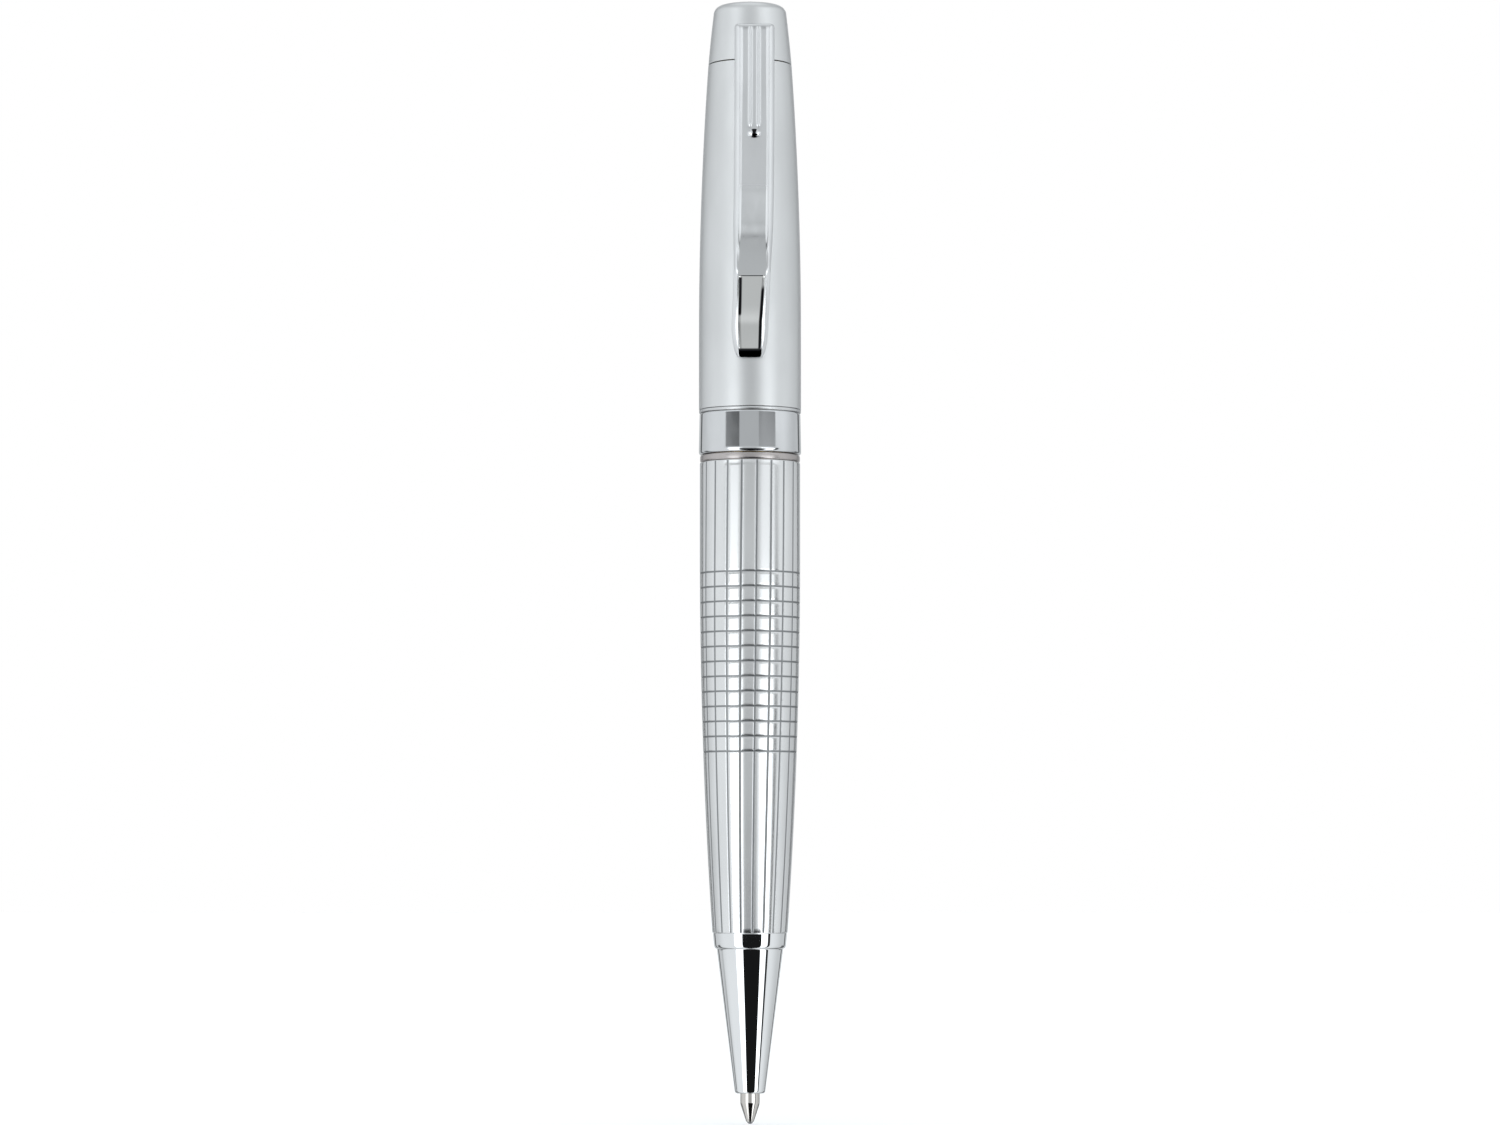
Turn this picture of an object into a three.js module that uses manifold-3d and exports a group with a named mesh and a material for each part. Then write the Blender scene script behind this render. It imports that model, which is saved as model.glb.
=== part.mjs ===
// A twist-action ballpoint pen, built as the pieces it comes apart into on a bench.
// Millimetres, +Z up. The pen's axis is Z, its writing point is at the origin and its clip faces -Y.
// It is drawn in the writing position, with the refill fully out of the nose.

import * as THREE from "three";
import { mergeVertices } from "three/addons/utils/BufferGeometryUtils.js";
import Module from "manifold-3d";

const wasm = await Module();
wasm.setup();

// ---------------------------------------------------------------- driving dimensions

const PEN_LENGTH = 138.25;
const WIDEST_R = 6.31; // upper barrel and centre band
const GRIP_R = 6.19; // widest part of the lower barrel
const WALL = 0.6; // both barrels are drawn brass tube
const FIT = 0.05; // radial gap between pieces that are pressed, glued or screwed together
const RUN = 0.1; // radial gap between pieces that slide or turn
const SEAM = 0.04; // end gap between pieces that butt together

const REFILL_LENGTH = 98.1; // the common metal ballpoint refill
const REFILL_R = 2.95;
const REFILL_TRAVEL = 5.5;
const TWIST = Math.PI; // half a turn takes the refill all the way in

const FACETS = 32; // facets round a turned piece
const FINE_FACETS = 20; // facets round a very small one

// Heights of the seams along the axis.
const NOSE_FRONT_Z = 3.75;
const NOSE_CREASE_Z = 21.4; // the cone's root, below the rounded collar
const NOSE_COLLAR_Z = 22.1; // lower edge of the collar's straight band
const GRIP_FRONT_Z = 23.35; // nose cone to lower barrel
const GRIP_BACK_Z = 81.2; // lower barrel to joint collar
const BAND_FRONT_Z = 82.15; // joint collar to centre band
const BAND_BACK_Z = 87.0; // centre band to trim ring
const BARREL_FRONT_Z = 87.87; // trim ring to upper barrel
const BARREL_BACK_Z = 130.62; // upper barrel to end cap
const CAP_FRONT_Z = 130.74;

// Bores and shafts of the twist mechanism.
const CASING_R = 4.0; // outside of the guide tube
const CASING_BORE_R = 3.3;
const THREAD_R = 4.5; // casing thread that the lower barrel screws onto
const CAM_R = 4.95; // outside of the helical cam sleeve
const PIN_R = 0.6; // follower pin
const PIN_Z = 101; // its height in the writing position
const SCREW_R = 1.75; // stud that holds the end cap down

// The clip leans a little: its head sits off centre, and it bends back to the middle at its foot.
const CLIP_TOP_Z = 135.0;
const CLIP_FOOT_Z = 93.6;
const CLIP_OFFSET = 0.58; // sideways shift at the head
const CLIP_BEND = 10; // height over which about two thirds of the shift comes
const CLIP_HALF_WIDTH = 2.4;
const PIVOT = { y: -3.35, z: 134.0 };
const PIVOT_PIN_R = 0.5;
const LUG_HALF_WIDTH = 0.75;
const clipMiddle = (z) => CLIP_OFFSET * (1 - Math.exp(-Math.max(z - 98, 0) / CLIP_BEND));

// ---------------------------------------------------------------- outlines of the outside

// Radius of the upper barrel: a shallow arc, widest near the band.
const upperRadius = (z) => WIDEST_R - 1.052e-3 * Math.max(0, z - 97.7) ** 2;

// Radius of the lower barrel: straight at the top, then a shallow arc down to the nose.
const lowerRadius = (z) => GRIP_R - 7.26e-4 * Math.max(0, 70 - z) ** 2;

// Radius of the end cap's side, a little steeper than the barrel that it carries on.
const capRadius = (z) => 5.135 - 0.085 * (z - 131.02) - 0.003 * (z - 131.02) ** 2;

// Heights spread evenly from one to another, both ends included.
const spread = (from, to, steps) =>
  Array.from({ length: steps + 1 }, (_, i) => from + ((to - from) * i) / steps);

// [radius, height] points along a wall whose radius is a function of height.
const wall = (radius, from, to, steps) => spread(from, to, steps).map((z) => [radius(z), z]);

// A quarter of an ellipse between two [radius, height] points; it leaves the first one along the axis.
const quarterRound = ([r0, z0], [r1, z1], steps) =>
  spread(0, Math.PI / 2, steps).map((a) => [r1 + (r0 - r1) * Math.cos(a), z0 + (z1 - z0) * Math.sin(a)]);

// ---------------------------------------------------------------- shape helpers

// A turned piece. The section is a list of [radius, height] points that goes up the outside and down
// the inside. It closes on itself, or starts and ends on the axis.
function turned(section, facets = FACETS) {
  const startsOnAxis = section[0][0] === 0;
  const loop = startsOnAxis ? section : [...section, section[0]];
  const points = loop.map(([r, z]) => new THREE.Vector2(r, z));
  return new THREE.LatheGeometry(points, facets).rotateX(Math.PI / 2);
}

// A plain tube between two heights.
const sleeve = (inner, outer, low, high, facets = FACETS) =>
  turned([[inner, low], [outer, low], [outer, high], [inner, high]], facets);

// A plain solid round bar between two heights.
const bar = (radius, low, high, facets = FACETS) =>
  turned([[0, low], [radius, low], [radius, high], [0, high]], facets);

// A round bar along X through a given y and z.
const crossBar = (radius, fromX, toX, y, z) =>
  new THREE.CylinderGeometry(radius, radius, toX - fromX, FINE_FACETS)
    .rotateZ(Math.PI / 2)
    .translate((fromX + toX) / 2, y, z);

// A rectangular block from its lowest and highest corners.
function block([x0, y0, z0], [x1, y1, z1]) {
  return new THREE.BoxGeometry(x1 - x0, y1 - y0, z1 - z0)
    .translate((x0 + x1) / 2, (y0 + y1) / 2, (z0 + z1) / 2);
}

const X = new THREE.Vector3(1, 0, 0);
const Y = new THREE.Vector3(0, 1, 0);
const Z = new THREE.Vector3(0, 0, 1);

// A plate drawn in side view as [y, z] points and as thick as its two half widths across X.
function sidePlate(outline, halfWidth) {
  const shape = new THREE.Shape(outline.map(([y, z]) => new THREE.Vector2(y, z)));
  return new THREE.ExtrudeGeometry(shape, { depth: 2 * halfWidth, bevelEnabled: false })
    .translate(0, 0, -halfWidth)
    .applyMatrix4(new THREE.Matrix4().makeBasis(Y, Z, X));
}

// A plate drawn in front view as [x, z] points and running from y = -10 back to y = 0.
function frontPlate(outline) {
  const shape = new THREE.Shape(outline.map(([x, z]) => new THREE.Vector2(x, z)));
  return new THREE.ExtrudeGeometry(shape, { depth: 10, bevelEnabled: false })
    .applyMatrix4(new THREE.Matrix4().makeBasis(X, Z, Y.clone().negate()));
}

// A wire with a six-sided section that follows a list of points.
function wire(points, radius, steps) {
  const section = new THREE.Shape(spread(0, 5, 5).map((i) => {
    const a = (i * Math.PI) / 3;
    return new THREE.Vector2(radius * Math.cos(a), radius * Math.sin(a));
  }));
  const extrudePath = new THREE.CatmullRomCurve3(points);
  return new THREE.ExtrudeGeometry(section, { extrudePath, steps, bevelEnabled: false });
}

// Booleans go through a closed solid whose shared corners are merged, and come back as a geometry.
function solid(geometry) {
  const bare = geometry.clone();
  bare.deleteAttribute("normal");
  bare.deleteAttribute("uv");
  const merged = mergeVertices(bare, 1e-4);
  const vertProperties = merged.attributes.position.array;
  const triVerts = new Uint32Array(merged.index.array);
  return new wasm.Manifold(new wasm.Mesh({ numProp: 3, vertProperties, triVerts }));
}

function geometryOf(body) {
  const { vertProperties, triVerts } = body.getMesh();
  const geometry = new THREE.BufferGeometry();
  geometry.setAttribute("position", new THREE.BufferAttribute(new Float32Array(vertProperties), 3));
  geometry.setIndex(new THREE.BufferAttribute(new Uint32Array(triVerts), 1));
  geometry.computeVertexNormals();
  return geometry;
}

const cut = (geometry, ...tools) =>
  geometryOf(tools.reduce((body, tool) => body.subtract(solid(tool)), solid(geometry)));

// ---------------------------------------------------------------- materials

const metal = (color, roughness) => new THREE.MeshStandardMaterial({ color, roughness, metalness: 1 });
const plastic = (color, roughness) => new THREE.MeshStandardMaterial({ color, roughness, metalness: 0 });

const satinSilver = metal(0xc9cdd0, 0.45);
const polishedChrome = metal(0xe4e6e8, 0.08);
const engravedChrome = metal(0xd8dadb, 0.18);
const darkChrome = metal(0xa9adb0, 0.15);
const nickelSilver = metal(0xb9b6a8, 0.3);
const brass = metal(0xb99a55, 0.35);
const springSteel = metal(0x9a9da0, 0.3);
const carbide = metal(0x6f7276, 0.15);
const refillSteel = metal(0xb4b7ba, 0.25);
const camPlastic = plastic(0xe8e6df, 0.5);
const plugPlastic = plastic(0x24262b, 0.5);
const ringRubber = plastic(0x1c1c1c, 0.8);
const inkBlue = plastic(0x10185a, 0.2);

const pen = new THREE.Group();

function add(name, geometry, material) {
  const mesh = new THREE.Mesh(geometry, material);
  mesh.name = name;
  pen.add(mesh);
}

// ---------------------------------------------------------------- upper half: cap, clip and barrel

// The slot in the cap that the clip's lug turns in, from its left side to its right side. It opens
// through the cap's side, and its left half has room for the spring.
const HEAD_MIDDLE = clipMiddle(PIVOT.z);
const SLOT = { left: HEAD_MIDDLE - 1.9, right: HEAD_MIDDLE + 1.1, back: -2.1, low: 131.6, high: 135.15 };
const PIN_LEFT = HEAD_MIDDLE - 2.6;
const PIN_RIGHT = HEAD_MIDDLE + 1.8;

function endCap() {
  const crownEdge = 137.2;
  const crownFlatR = 3.4;
  const shell = turned([
    [0, CAP_FRONT_Z],
    ...wall(capRadius, CAP_FRONT_Z, crownEdge, 4),
    ...quarterRound([capRadius(crownEdge), crownEdge], [crownFlatR, PEN_LENGTH], 5).slice(1),
    [0, PEN_LENGTH],
  ]);
  const slot = block([SLOT.left, -6, SLOT.low], [SLOT.right, SLOT.back, SLOT.high]);
  const pinHole = crossBar(PIVOT_PIN_R + FIT, PIN_LEFT - FIT, PIN_RIGHT + FIT, PIVOT.y, PIVOT.z);
  const screwHole = bar(SCREW_R + FIT, CAP_FRONT_Z - 1, 135.6, FINE_FACETS);
  return cut(shell, slot, pinHole, screwHole);
}

const capScrew = () => bar(SCREW_R, 124.6, 135.4, FINE_FACETS);

const topBush = () =>
  turned([
    [SCREW_R + FIT, 123.5],
    ...wall((z) => upperRadius(z) - WALL - FIT, 123.5, BARREL_BACK_Z + SEAM, 2),
    [SCREW_R + FIT, BARREL_BACK_Z + SEAM],
  ]);

const pivotPin = () => crossBar(PIVOT_PIN_R, PIN_LEFT, PIN_RIGHT, PIVOT.y, PIVOT.z);

// A torsion spring of two turns round the pivot pin, beside the lug, with a leg at each end.
function clipSpring() {
  const coilR = 0.85;
  const wireR = 0.14;
  const turns = 2.25;
  const width = 0.75;
  const firstX = HEAD_MIDDLE - LUG_HALF_WIDTH - 0.2;
  const steps = 27;
  const coil = spread(0, turns * 2 * Math.PI, steps).map((a, i) => {
    const x = firstX - (width * i) / steps;
    return new THREE.Vector3(x, PIVOT.y + coilR * Math.cos(a), PIVOT.z + coilR * Math.sin(a));
  });
  const backLeg = new THREE.Vector3(firstX, PIVOT.y + coilR, 132.2);
  const frontLeg = new THREE.Vector3(firstX - width, PIVOT.y - 1.1, PIVOT.z + coilR);
  return wire([backLeg, ...coil, frontLeg], wireR, 44);
}

// The barrel's bore follows its outside at an even wall.
const upperBarrel = () =>
  turned([
    ...wall(upperRadius, BARREL_FRONT_Z, BARREL_BACK_Z, 7),
    ...wall((z) => upperRadius(z) - WALL, BARREL_BACK_Z, BARREL_FRONT_Z, 7),
  ]);

// ---------------------------------------------------------------- clip

// The flat front of the clip: its y at its top and at its lower end.
const CLIP_FACE = { top: -5.95, topZ: 134.65, low: -7.55, lowZ: 109.3 };
const FACE_SLOPE = (CLIP_FACE.top - CLIP_FACE.low) / (CLIP_FACE.topZ - CLIP_FACE.lowZ);
const clipFaceY = (z) => CLIP_FACE.low + FACE_SLOPE * (z - CLIP_FACE.lowZ);

// Side view of the clip without its scoop: the front runs down to the rounded foot, the back runs up
// along the barrel to the head.
const CLIP_SIDE = [
  [-3.6, CLIP_TOP_Z],
  [-5.6, CLIP_TOP_Z],
  [CLIP_FACE.top, CLIP_FACE.topZ],
  [CLIP_FACE.low, CLIP_FACE.lowZ],
  [-7.6, 105.5],
  [-7.58, 101],
  [-7.35, 97],
  [-7.0, 94.9],
  [-6.75, 94.0],
  [-6.45, CLIP_FOOT_Z],
  [-6.4, 94.6],
  [-6.38, 99.5],
  [-6.75, 104.6],
  [-6.85, 109],
  [-5.45, 131.4],
  [-3.6, 131.9],
];

// The scoop between the clip's two side rails: everything in front of its hollow curved floor.
const CLIP_SCOOP = [
  [-9, 105.2],
  [-7.45, 105.2],
  [-7.05, 103.6],
  [-6.85, 101],
  [-6.8, 98.5],
  [-6.9, 96.4],
  [-7.15, 94.5],
  [-7.1, 93.8],
  [-6.9, 93],
  [-9, 93],
];

// Right-hand edge of the clip in front view, from below its foot to above its head.
const CLIP_FRONT = [
  [1.75, 93],
  [2.2, 98],
  [2.2, 103],
  [CLIP_HALF_WIDTH, 112],
  [CLIP_HALF_WIDTH, 121],
  [CLIP_HALF_WIDTH, 136],
];
const mirrored = (edge) => [...edge, ...edge.map(([x, z]) => [-x, z]).reverse()];

function clip() {
  const side = solid(sidePlate(CLIP_SIDE, CLIP_HALF_WIDTH));
  const front = solid(frontPlate(mirrored(CLIP_FRONT)));
  const scoopFront = solid(frontPlate(mirrored([[1.15, 92], [1.5, 106]])));
  const scoop = solid(sidePlate(CLIP_SCOOP, CLIP_HALF_WIDTH)).intersect(scoopFront);
  const clearance = 0.25;
  const insideOfHead = solid(turned([
    [0, 120],
    ...wall((z) => upperRadius(z) + clearance, 120, CAP_FRONT_Z, 2),
    ...wall((z) => capRadius(z) + clearance, CAP_FRONT_Z + 0.01, 136, 2),
    [0, 136],
  ]));
  const lug = solid(block([-LUG_HALF_WIDTH, -5.3, 132.3], [LUG_HALF_WIDTH, -2.5, 134.85]));
  const pivotHole = solid(crossBar(PIVOT_PIN_R + RUN, -2, 2, PIVOT.y, PIVOT.z));
  const pressing = side.intersect(front).subtract(scoop).subtract(insideOfHead);
  const straight = geometryOf(pressing.add(lug).subtract(pivotHole));
  const corners = straight.attributes.position;
  for (let i = 0; i < corners.count; i += 1) {
    corners.setX(i, corners.getX(i) + clipMiddle(corners.getZ(i)));
  }
  return straight;
}

// A small polished oval bead on the clip's face, below the flutes.
function clipStud() {
  const z = 121.2;
  const tilt = Math.atan(FACE_SLOPE);
  const dome = turned([[0, 0], [0.5, 0], [0.46, 0.18], [0.3, 0.34], [0, 0.4]], FINE_FACETS);
  return dome
    .scale(1.8, 1, 1)
    .rotateX(Math.PI / 2 + tilt)
    .translate(clipMiddle(z), clipFaceY(z) - SEAM, z);
}

// ---------------------------------------------------------------- centre joint, upper side

const BAND_BORE_R = 5.72;

const centreBand = () =>
  turned([
    [BAND_BORE_R, BAND_FRONT_Z],
    [6.08, BAND_FRONT_Z],
    ...quarterRound([WIDEST_R, BAND_FRONT_Z + 0.4], [6.08, BAND_FRONT_Z], 3).reverse().slice(1),
    [WIDEST_R, BAND_BACK_Z - 0.12],
    [6.24, BAND_BACK_Z],
    [BAND_BORE_R, BAND_BACK_Z],
  ]);

const trimRing = () =>
  turned([
    [BAND_BORE_R, BAND_BACK_Z + SEAM],
    [6.2, BAND_BACK_Z + SEAM],
    [WIDEST_R, BAND_BACK_Z + 0.25],
    [WIDEST_R, BARREL_FRONT_Z - 0.2],
    [6.24, BARREL_FRONT_Z - SEAM],
    [BAND_BORE_R, BARREL_FRONT_Z - SEAM],
  ]);

// The bush carries the band and the barrel outside, and the casing turns in its bore. Its wide front
// bore leaves room for the friction ring.
const bandBush = () =>
  turned([
    [4.75, 83.15],
    [BAND_BORE_R - FIT, 83.15],
    [WIDEST_R - WALL - FIT, 95],
    [CASING_R + RUN, 95],
    [CASING_R + RUN, 86.6],
    [4.75, 86.6],
  ]);

// ---------------------------------------------------------------- twist mechanism

// A box bent into a helix round the axis: a slot cutter that rises with the angle it goes round.
// Its far side becomes the inside, so that its faces still point out.
function helixCutter(startAngle, endAngle, startZ, endZ, halfHeight, innerR, outerR) {
  const steps = 18;
  const cutter = new THREE.BoxGeometry(1, outerR - innerR, 2 * halfHeight, steps, 1, 1);
  const corners = cutter.attributes.position;
  for (let i = 0; i < corners.count; i += 1) {
    const along = corners.getX(i) + 0.5;
    const angle = startAngle + along * (endAngle - startAngle);
    const radius = (innerR + outerR) / 2 - corners.getY(i);
    const z = startZ + along * (endZ - startZ) + corners.getZ(i);
    corners.setXYZ(i, radius * Math.cos(angle), radius * Math.sin(angle), z);
  }
  return cutter;
}

// The cam sleeve turns with the upper half. Its helical slot lifts the follower pin as the lower half
// turns backwards by half a turn. A little run-out at each end keeps the pin off the slot's ends.
function camSleeve() {
  const tube = sleeve(CASING_R + RUN, CAM_R, 97.5, 112);
  const runOut = 0.24;
  const rise = (REFILL_TRAVEL / TWIST) * runOut;
  const slot = helixCutter(-TWIST - runOut, runOut, PIN_Z + REFILL_TRAVEL + rise, PIN_Z - rise,
    PIN_R + 0.22, CASING_R - 0.5, CAM_R + 0.5);
  return cut(tube, slot);
}

// Glued in the upper barrel, it holds the cam sleeve.
const camHolder = () => sleeve(CAM_R + FIT, upperRadius(112) - WALL - FIT, 96, 112);

// Closes the cam sleeve's end and keys it to the barrel.
const drivePlug = () =>
  turned([
    [0, 110],
    [CASING_R + RUN - FIT, 110],
    [CASING_R + RUN - FIT, 112 + SEAM],
    [5.0, 112 + SEAM],
    [5.0, 117],
    [3.2, 118.5],
    [0, 118.5],
  ]);

// The casing belongs to the lower half: its thread holds the lower barrel, its flange backs the joint
// collar, and its guide tube runs up inside the cam sleeve. A straight slot keys the follower pin.
function casing() {
  const tube = turned([
    [REFILL_R + 0.25, 73],
    [THREAD_R, 73],
    [THREAD_R, BAND_FRONT_Z - 0.05],
    [5.2, BAND_FRONT_Z - 0.05],
    [5.2, 83.0],
    [CASING_R, 83.0],
    [CASING_R, 109.4],
    [CASING_BORE_R, 109.4],
    [CASING_BORE_R, 84],
    [REFILL_R + 0.25, 83.4],
  ]);
  const slot = block(
    [2, -PIN_R - 0.12, PIN_Z - PIN_R - 0.2],
    [6, PIN_R + 0.12, PIN_Z + REFILL_TRAVEL + PIN_R + 0.2],
  );
  return cut(tube, slot);
}

// Rubber ring that gives the twist its drag, between the casing and the band bush.
const frictionRing = () => new THREE.TorusGeometry(4.37, 0.3, 6, FACETS).translate(0, 0, 85.4);

// Open snap ring on the casing that stops the two halves pulling apart.
function retainingRing() {
  const ring = sleeve(CASING_R + 0.03, 4.85, 95.15, 95.75);
  return cut(ring, block([-6, -0.8, 95], [-3, 0.8, 96]));
}

// The follower pushes the refill and hangs on its pin.
function follower() {
  const plug = turned([
    [0, REFILL_LENGTH + 1.2],
    [1.6, REFILL_LENGTH + 1.2],
    [2.2, REFILL_LENGTH + SEAM],
    [CASING_BORE_R - RUN, REFILL_LENGTH + SEAM],
    [CASING_BORE_R - RUN, 103.2],
    [2.9, 103.6],
    [0, 103.6],
  ]);
  return cut(plug, crossBar(PIN_R + 0.04, 1, 5, 0, PIN_Z));
}

const followerPin = () => crossBar(PIN_R, 1.05, 4.85, 0, PIN_Z);

// ---------------------------------------------------------------- lower half

// A visible ring between the halves, clamped on the casing by the lower barrel.
const jointCollar = () =>
  turned([
    [THREAD_R + FIT, GRIP_BACK_Z + SEAM],
    [6.08, GRIP_BACK_Z + SEAM],
    [6.16, GRIP_BACK_Z + 0.15],
    [6.16, BAND_FRONT_Z - 0.22],
    [6.08, BAND_FRONT_Z - 0.1],
    [THREAD_R + FIT, BAND_FRONT_Z - 0.1],
  ]);

const lowerBarrel = () =>
  turned([
    ...wall(lowerRadius, GRIP_FRONT_Z, 70, 7),
    [GRIP_R, GRIP_BACK_Z - 0.15],
    [GRIP_R - 0.12, GRIP_BACK_Z],
    [GRIP_R - WALL, GRIP_BACK_Z],
    ...wall((z) => lowerRadius(z) - WALL, 70, GRIP_FRONT_Z, 7),
  ]);

const rearBush = () => sleeve(THREAD_R + FIT, GRIP_R - WALL - FIT, 72.5, GRIP_BACK_Z - 0.1);

const NOSE_THREAD_R = 3.75;

const frontBush = () =>
  turned([
    [NOSE_THREAD_R + FIT, GRIP_FRONT_Z + 0.15],
    ...wall((z) => lowerRadius(z) - WALL - FIT, GRIP_FRONT_Z + 0.15, 31, 2),
    [NOSE_THREAD_R + FIT, 31],
  ]);

// Heights of the steps in the nose cone's bore: the tip's guide, the neck's bore, the spring's
// chamber and the refill's bore.
const GUIDE_END_Z = 7.4;
const SPRING_SEAT_Z = 11.0;
const CHAMBER_END_Z = 18.2;

function noseCone() {
  const collarFrontR = 4.43;
  const collarBackR = 4.54;
  const guideR = 1.36;
  const neckBoreR = 1.85;
  const chamberR = 2.3;
  const refillBoreR = 3.2;
  return turned([
    [guideR, NOSE_FRONT_Z],
    [1.6, NOSE_FRONT_Z],
    ...quarterRound([1.88, NOSE_FRONT_Z + 0.35], [1.6, NOSE_FRONT_Z], 3).reverse().slice(1),
    [4.06, NOSE_CREASE_Z - 0.05],
    ...quarterRound([collarFrontR, NOSE_COLLAR_Z], [4.14, NOSE_CREASE_Z + 0.05], 4).reverse(),
    [collarBackR, GRIP_FRONT_Z - SEAM],
    [NOSE_THREAD_R, GRIP_FRONT_Z - SEAM],
    [NOSE_THREAD_R, 29.5],
    [refillBoreR, 29.5],
    [refillBoreR, CHAMBER_END_Z + 0.4],
    [chamberR, CHAMBER_END_Z],
    [chamberR, SPRING_SEAT_Z],
    [neckBoreR, SPRING_SEAT_Z],
    [neckBoreR, GUIDE_END_Z],
    [guideR, GUIDE_END_Z],
  ]);
}

// The return spring, squeezed between the nose cone's step and the refill's shoulder. Its end turns
// are closed up.
function returnSpring() {
  const coilR = 1.95;
  const wireR = 0.17;
  const low = SPRING_SEAT_Z + wireR + 0.03;
  const high = 17.55;
  const turns = 8;
  const steps = 96;
  const eased = (t) => t - 0.09 * Math.sin(2 * Math.PI * t);
  const points = spread(0, 1, steps).map((t) => {
    const a = turns * 2 * Math.PI * t;
    return new THREE.Vector3(coilR * Math.cos(a), coilR * Math.sin(a), low + (high - low) * eased(t));
  });
  return wire(points, wireR, steps);
}

// ---------------------------------------------------------------- refill

const NECK_R = 1.6;
const NECK_FRONT_Z = 7.9;
const SHOULDER_Z = 17.75; // the neck starts to widen to the tube here
const TUBE_FRONT_Z = 20.6;
const TUBE_BACK_Z = 95;
const TUBE_BORE_R = 2.55;
const INK_CHANNEL_R = 0.9;
const TIP_R = 1.19;
const BALL_R = 0.4;

const refillTube = () => sleeve(TUBE_BORE_R, REFILL_R, TUBE_FRONT_Z, TUBE_BACK_Z);

const refillNeck = () =>
  turned([
    [INK_CHANNEL_R, NECK_FRONT_Z],
    [NECK_R - 0.1, NECK_FRONT_Z],
    [NECK_R, NECK_FRONT_Z + 0.25],
    [NECK_R, SHOULDER_Z],
    [REFILL_R, TUBE_FRONT_Z - SEAM],
    [TUBE_BORE_R - FIT, TUBE_FRONT_Z - SEAM],
    [TUBE_BORE_R - FIT, 24],
    [INK_CHANNEL_R, 24],
  ]);

// The tip's cone closes round the ball just below the ball's middle, and ink reaches it from behind.
const refillTip = () =>
  turned([
    [0.405, 0.27],
    [0.46, 0.3],
    [TIP_R, 2.45],
    [TIP_R, NECK_FRONT_Z - SEAM],
    [INK_CHANNEL_R - FIT, NECK_FRONT_Z - SEAM],
    [INK_CHANNEL_R - FIT, 11],
    [0.26, 11],
    [0.26, 0.95],
    [0.44, 0.86],
    [0.44, 0.38],
  ], FINE_FACETS);

const writingBall = () =>
  new THREE.SphereGeometry(BALL_R, 14, 9).rotateX(Math.PI / 2).translate(0, 0, BALL_R);

const inkColumn = () => bar(TUBE_BORE_R - FIT, 24.1, 88, FINE_FACETS);

// The refill's tail: a plug in the tube with a notched crown that the follower presses on.
function endPlug() {
  const plug = turned([
    [0.6, 91],
    [TUBE_BORE_R - FIT, 91],
    [TUBE_BORE_R - FIT, TUBE_BACK_Z + SEAM],
    [REFILL_R, TUBE_BACK_Z + SEAM],
    [REFILL_R, REFILL_LENGTH - 0.3],
    [2.7, REFILL_LENGTH],
    [1.7, REFILL_LENGTH],
    [1.5, 96.4],
    [0.6, 96.4],
  ]);
  const notches = [0, 1, 2].map((i) =>
    block([-4, -0.45, REFILL_LENGTH - 0.9], [4, 0.45, REFILL_LENGTH + 1]).rotateZ((i * Math.PI) / 3 + 0.4));
  return cut(plug, ...notches);
}

// ---------------------------------------------------------------- assembly

add("end_cap", endCap(), satinSilver);
add("cap_screw", capScrew(), springSteel);
add("top_bush", topBush(), brass);
add("clip_pivot_pin", pivotPin(), springSteel);
add("clip_spring", clipSpring(), springSteel);
add("upper_barrel", upperBarrel(), satinSilver);
add("clip", clip(), satinSilver);
add("clip_stud", clipStud(), polishedChrome);

add("centre_band", centreBand(), darkChrome);
add("trim_ring", trimRing(), polishedChrome);
add("band_bush", bandBush(), brass);
add("cam_sleeve", camSleeve(), camPlastic);
add("cam_holder", camHolder(), brass);
add("drive_plug", drivePlug(), camPlastic);

add("mechanism_casing", casing(), brass);
add("friction_ring", frictionRing(), ringRubber);
add("retaining_ring", retainingRing(), springSteel);
add("follower", follower(), camPlastic);
add("follower_pin", followerPin(), springSteel);

add("joint_collar", jointCollar(), nickelSilver);
add("lower_barrel", lowerBarrel(), engravedChrome);
add("rear_bush", rearBush(), brass);
add("front_bush", frontBush(), brass);
add("nose_cone", noseCone(), polishedChrome);
add("return_spring", returnSpring(), springSteel);

add("refill_tube", refillTube(), refillSteel);
add("refill_neck", refillNeck(), brass);
add("refill_tip", refillTip(), nickelSilver);
add("writing_ball", writingBall(), carbide);
add("ink_column", inkColumn(), inkBlue);
add("refill_end_plug", endPlug(), plugPlastic);

export default pen;
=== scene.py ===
# %% [markdown]
# # A twist-action ballpoint pen
# The pen stands upright on its writing point. The imported model gives every piece its place and size, and
# this lesson gives the visible pieces their fine surfaces and their finishes: frosted silver above, engraved
# silver below, and polished metal on the nose, the band and the foot of the clip.
# The imported model comes first, because many sizes below are read from it.

# %% Load the imported model
import math

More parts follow.
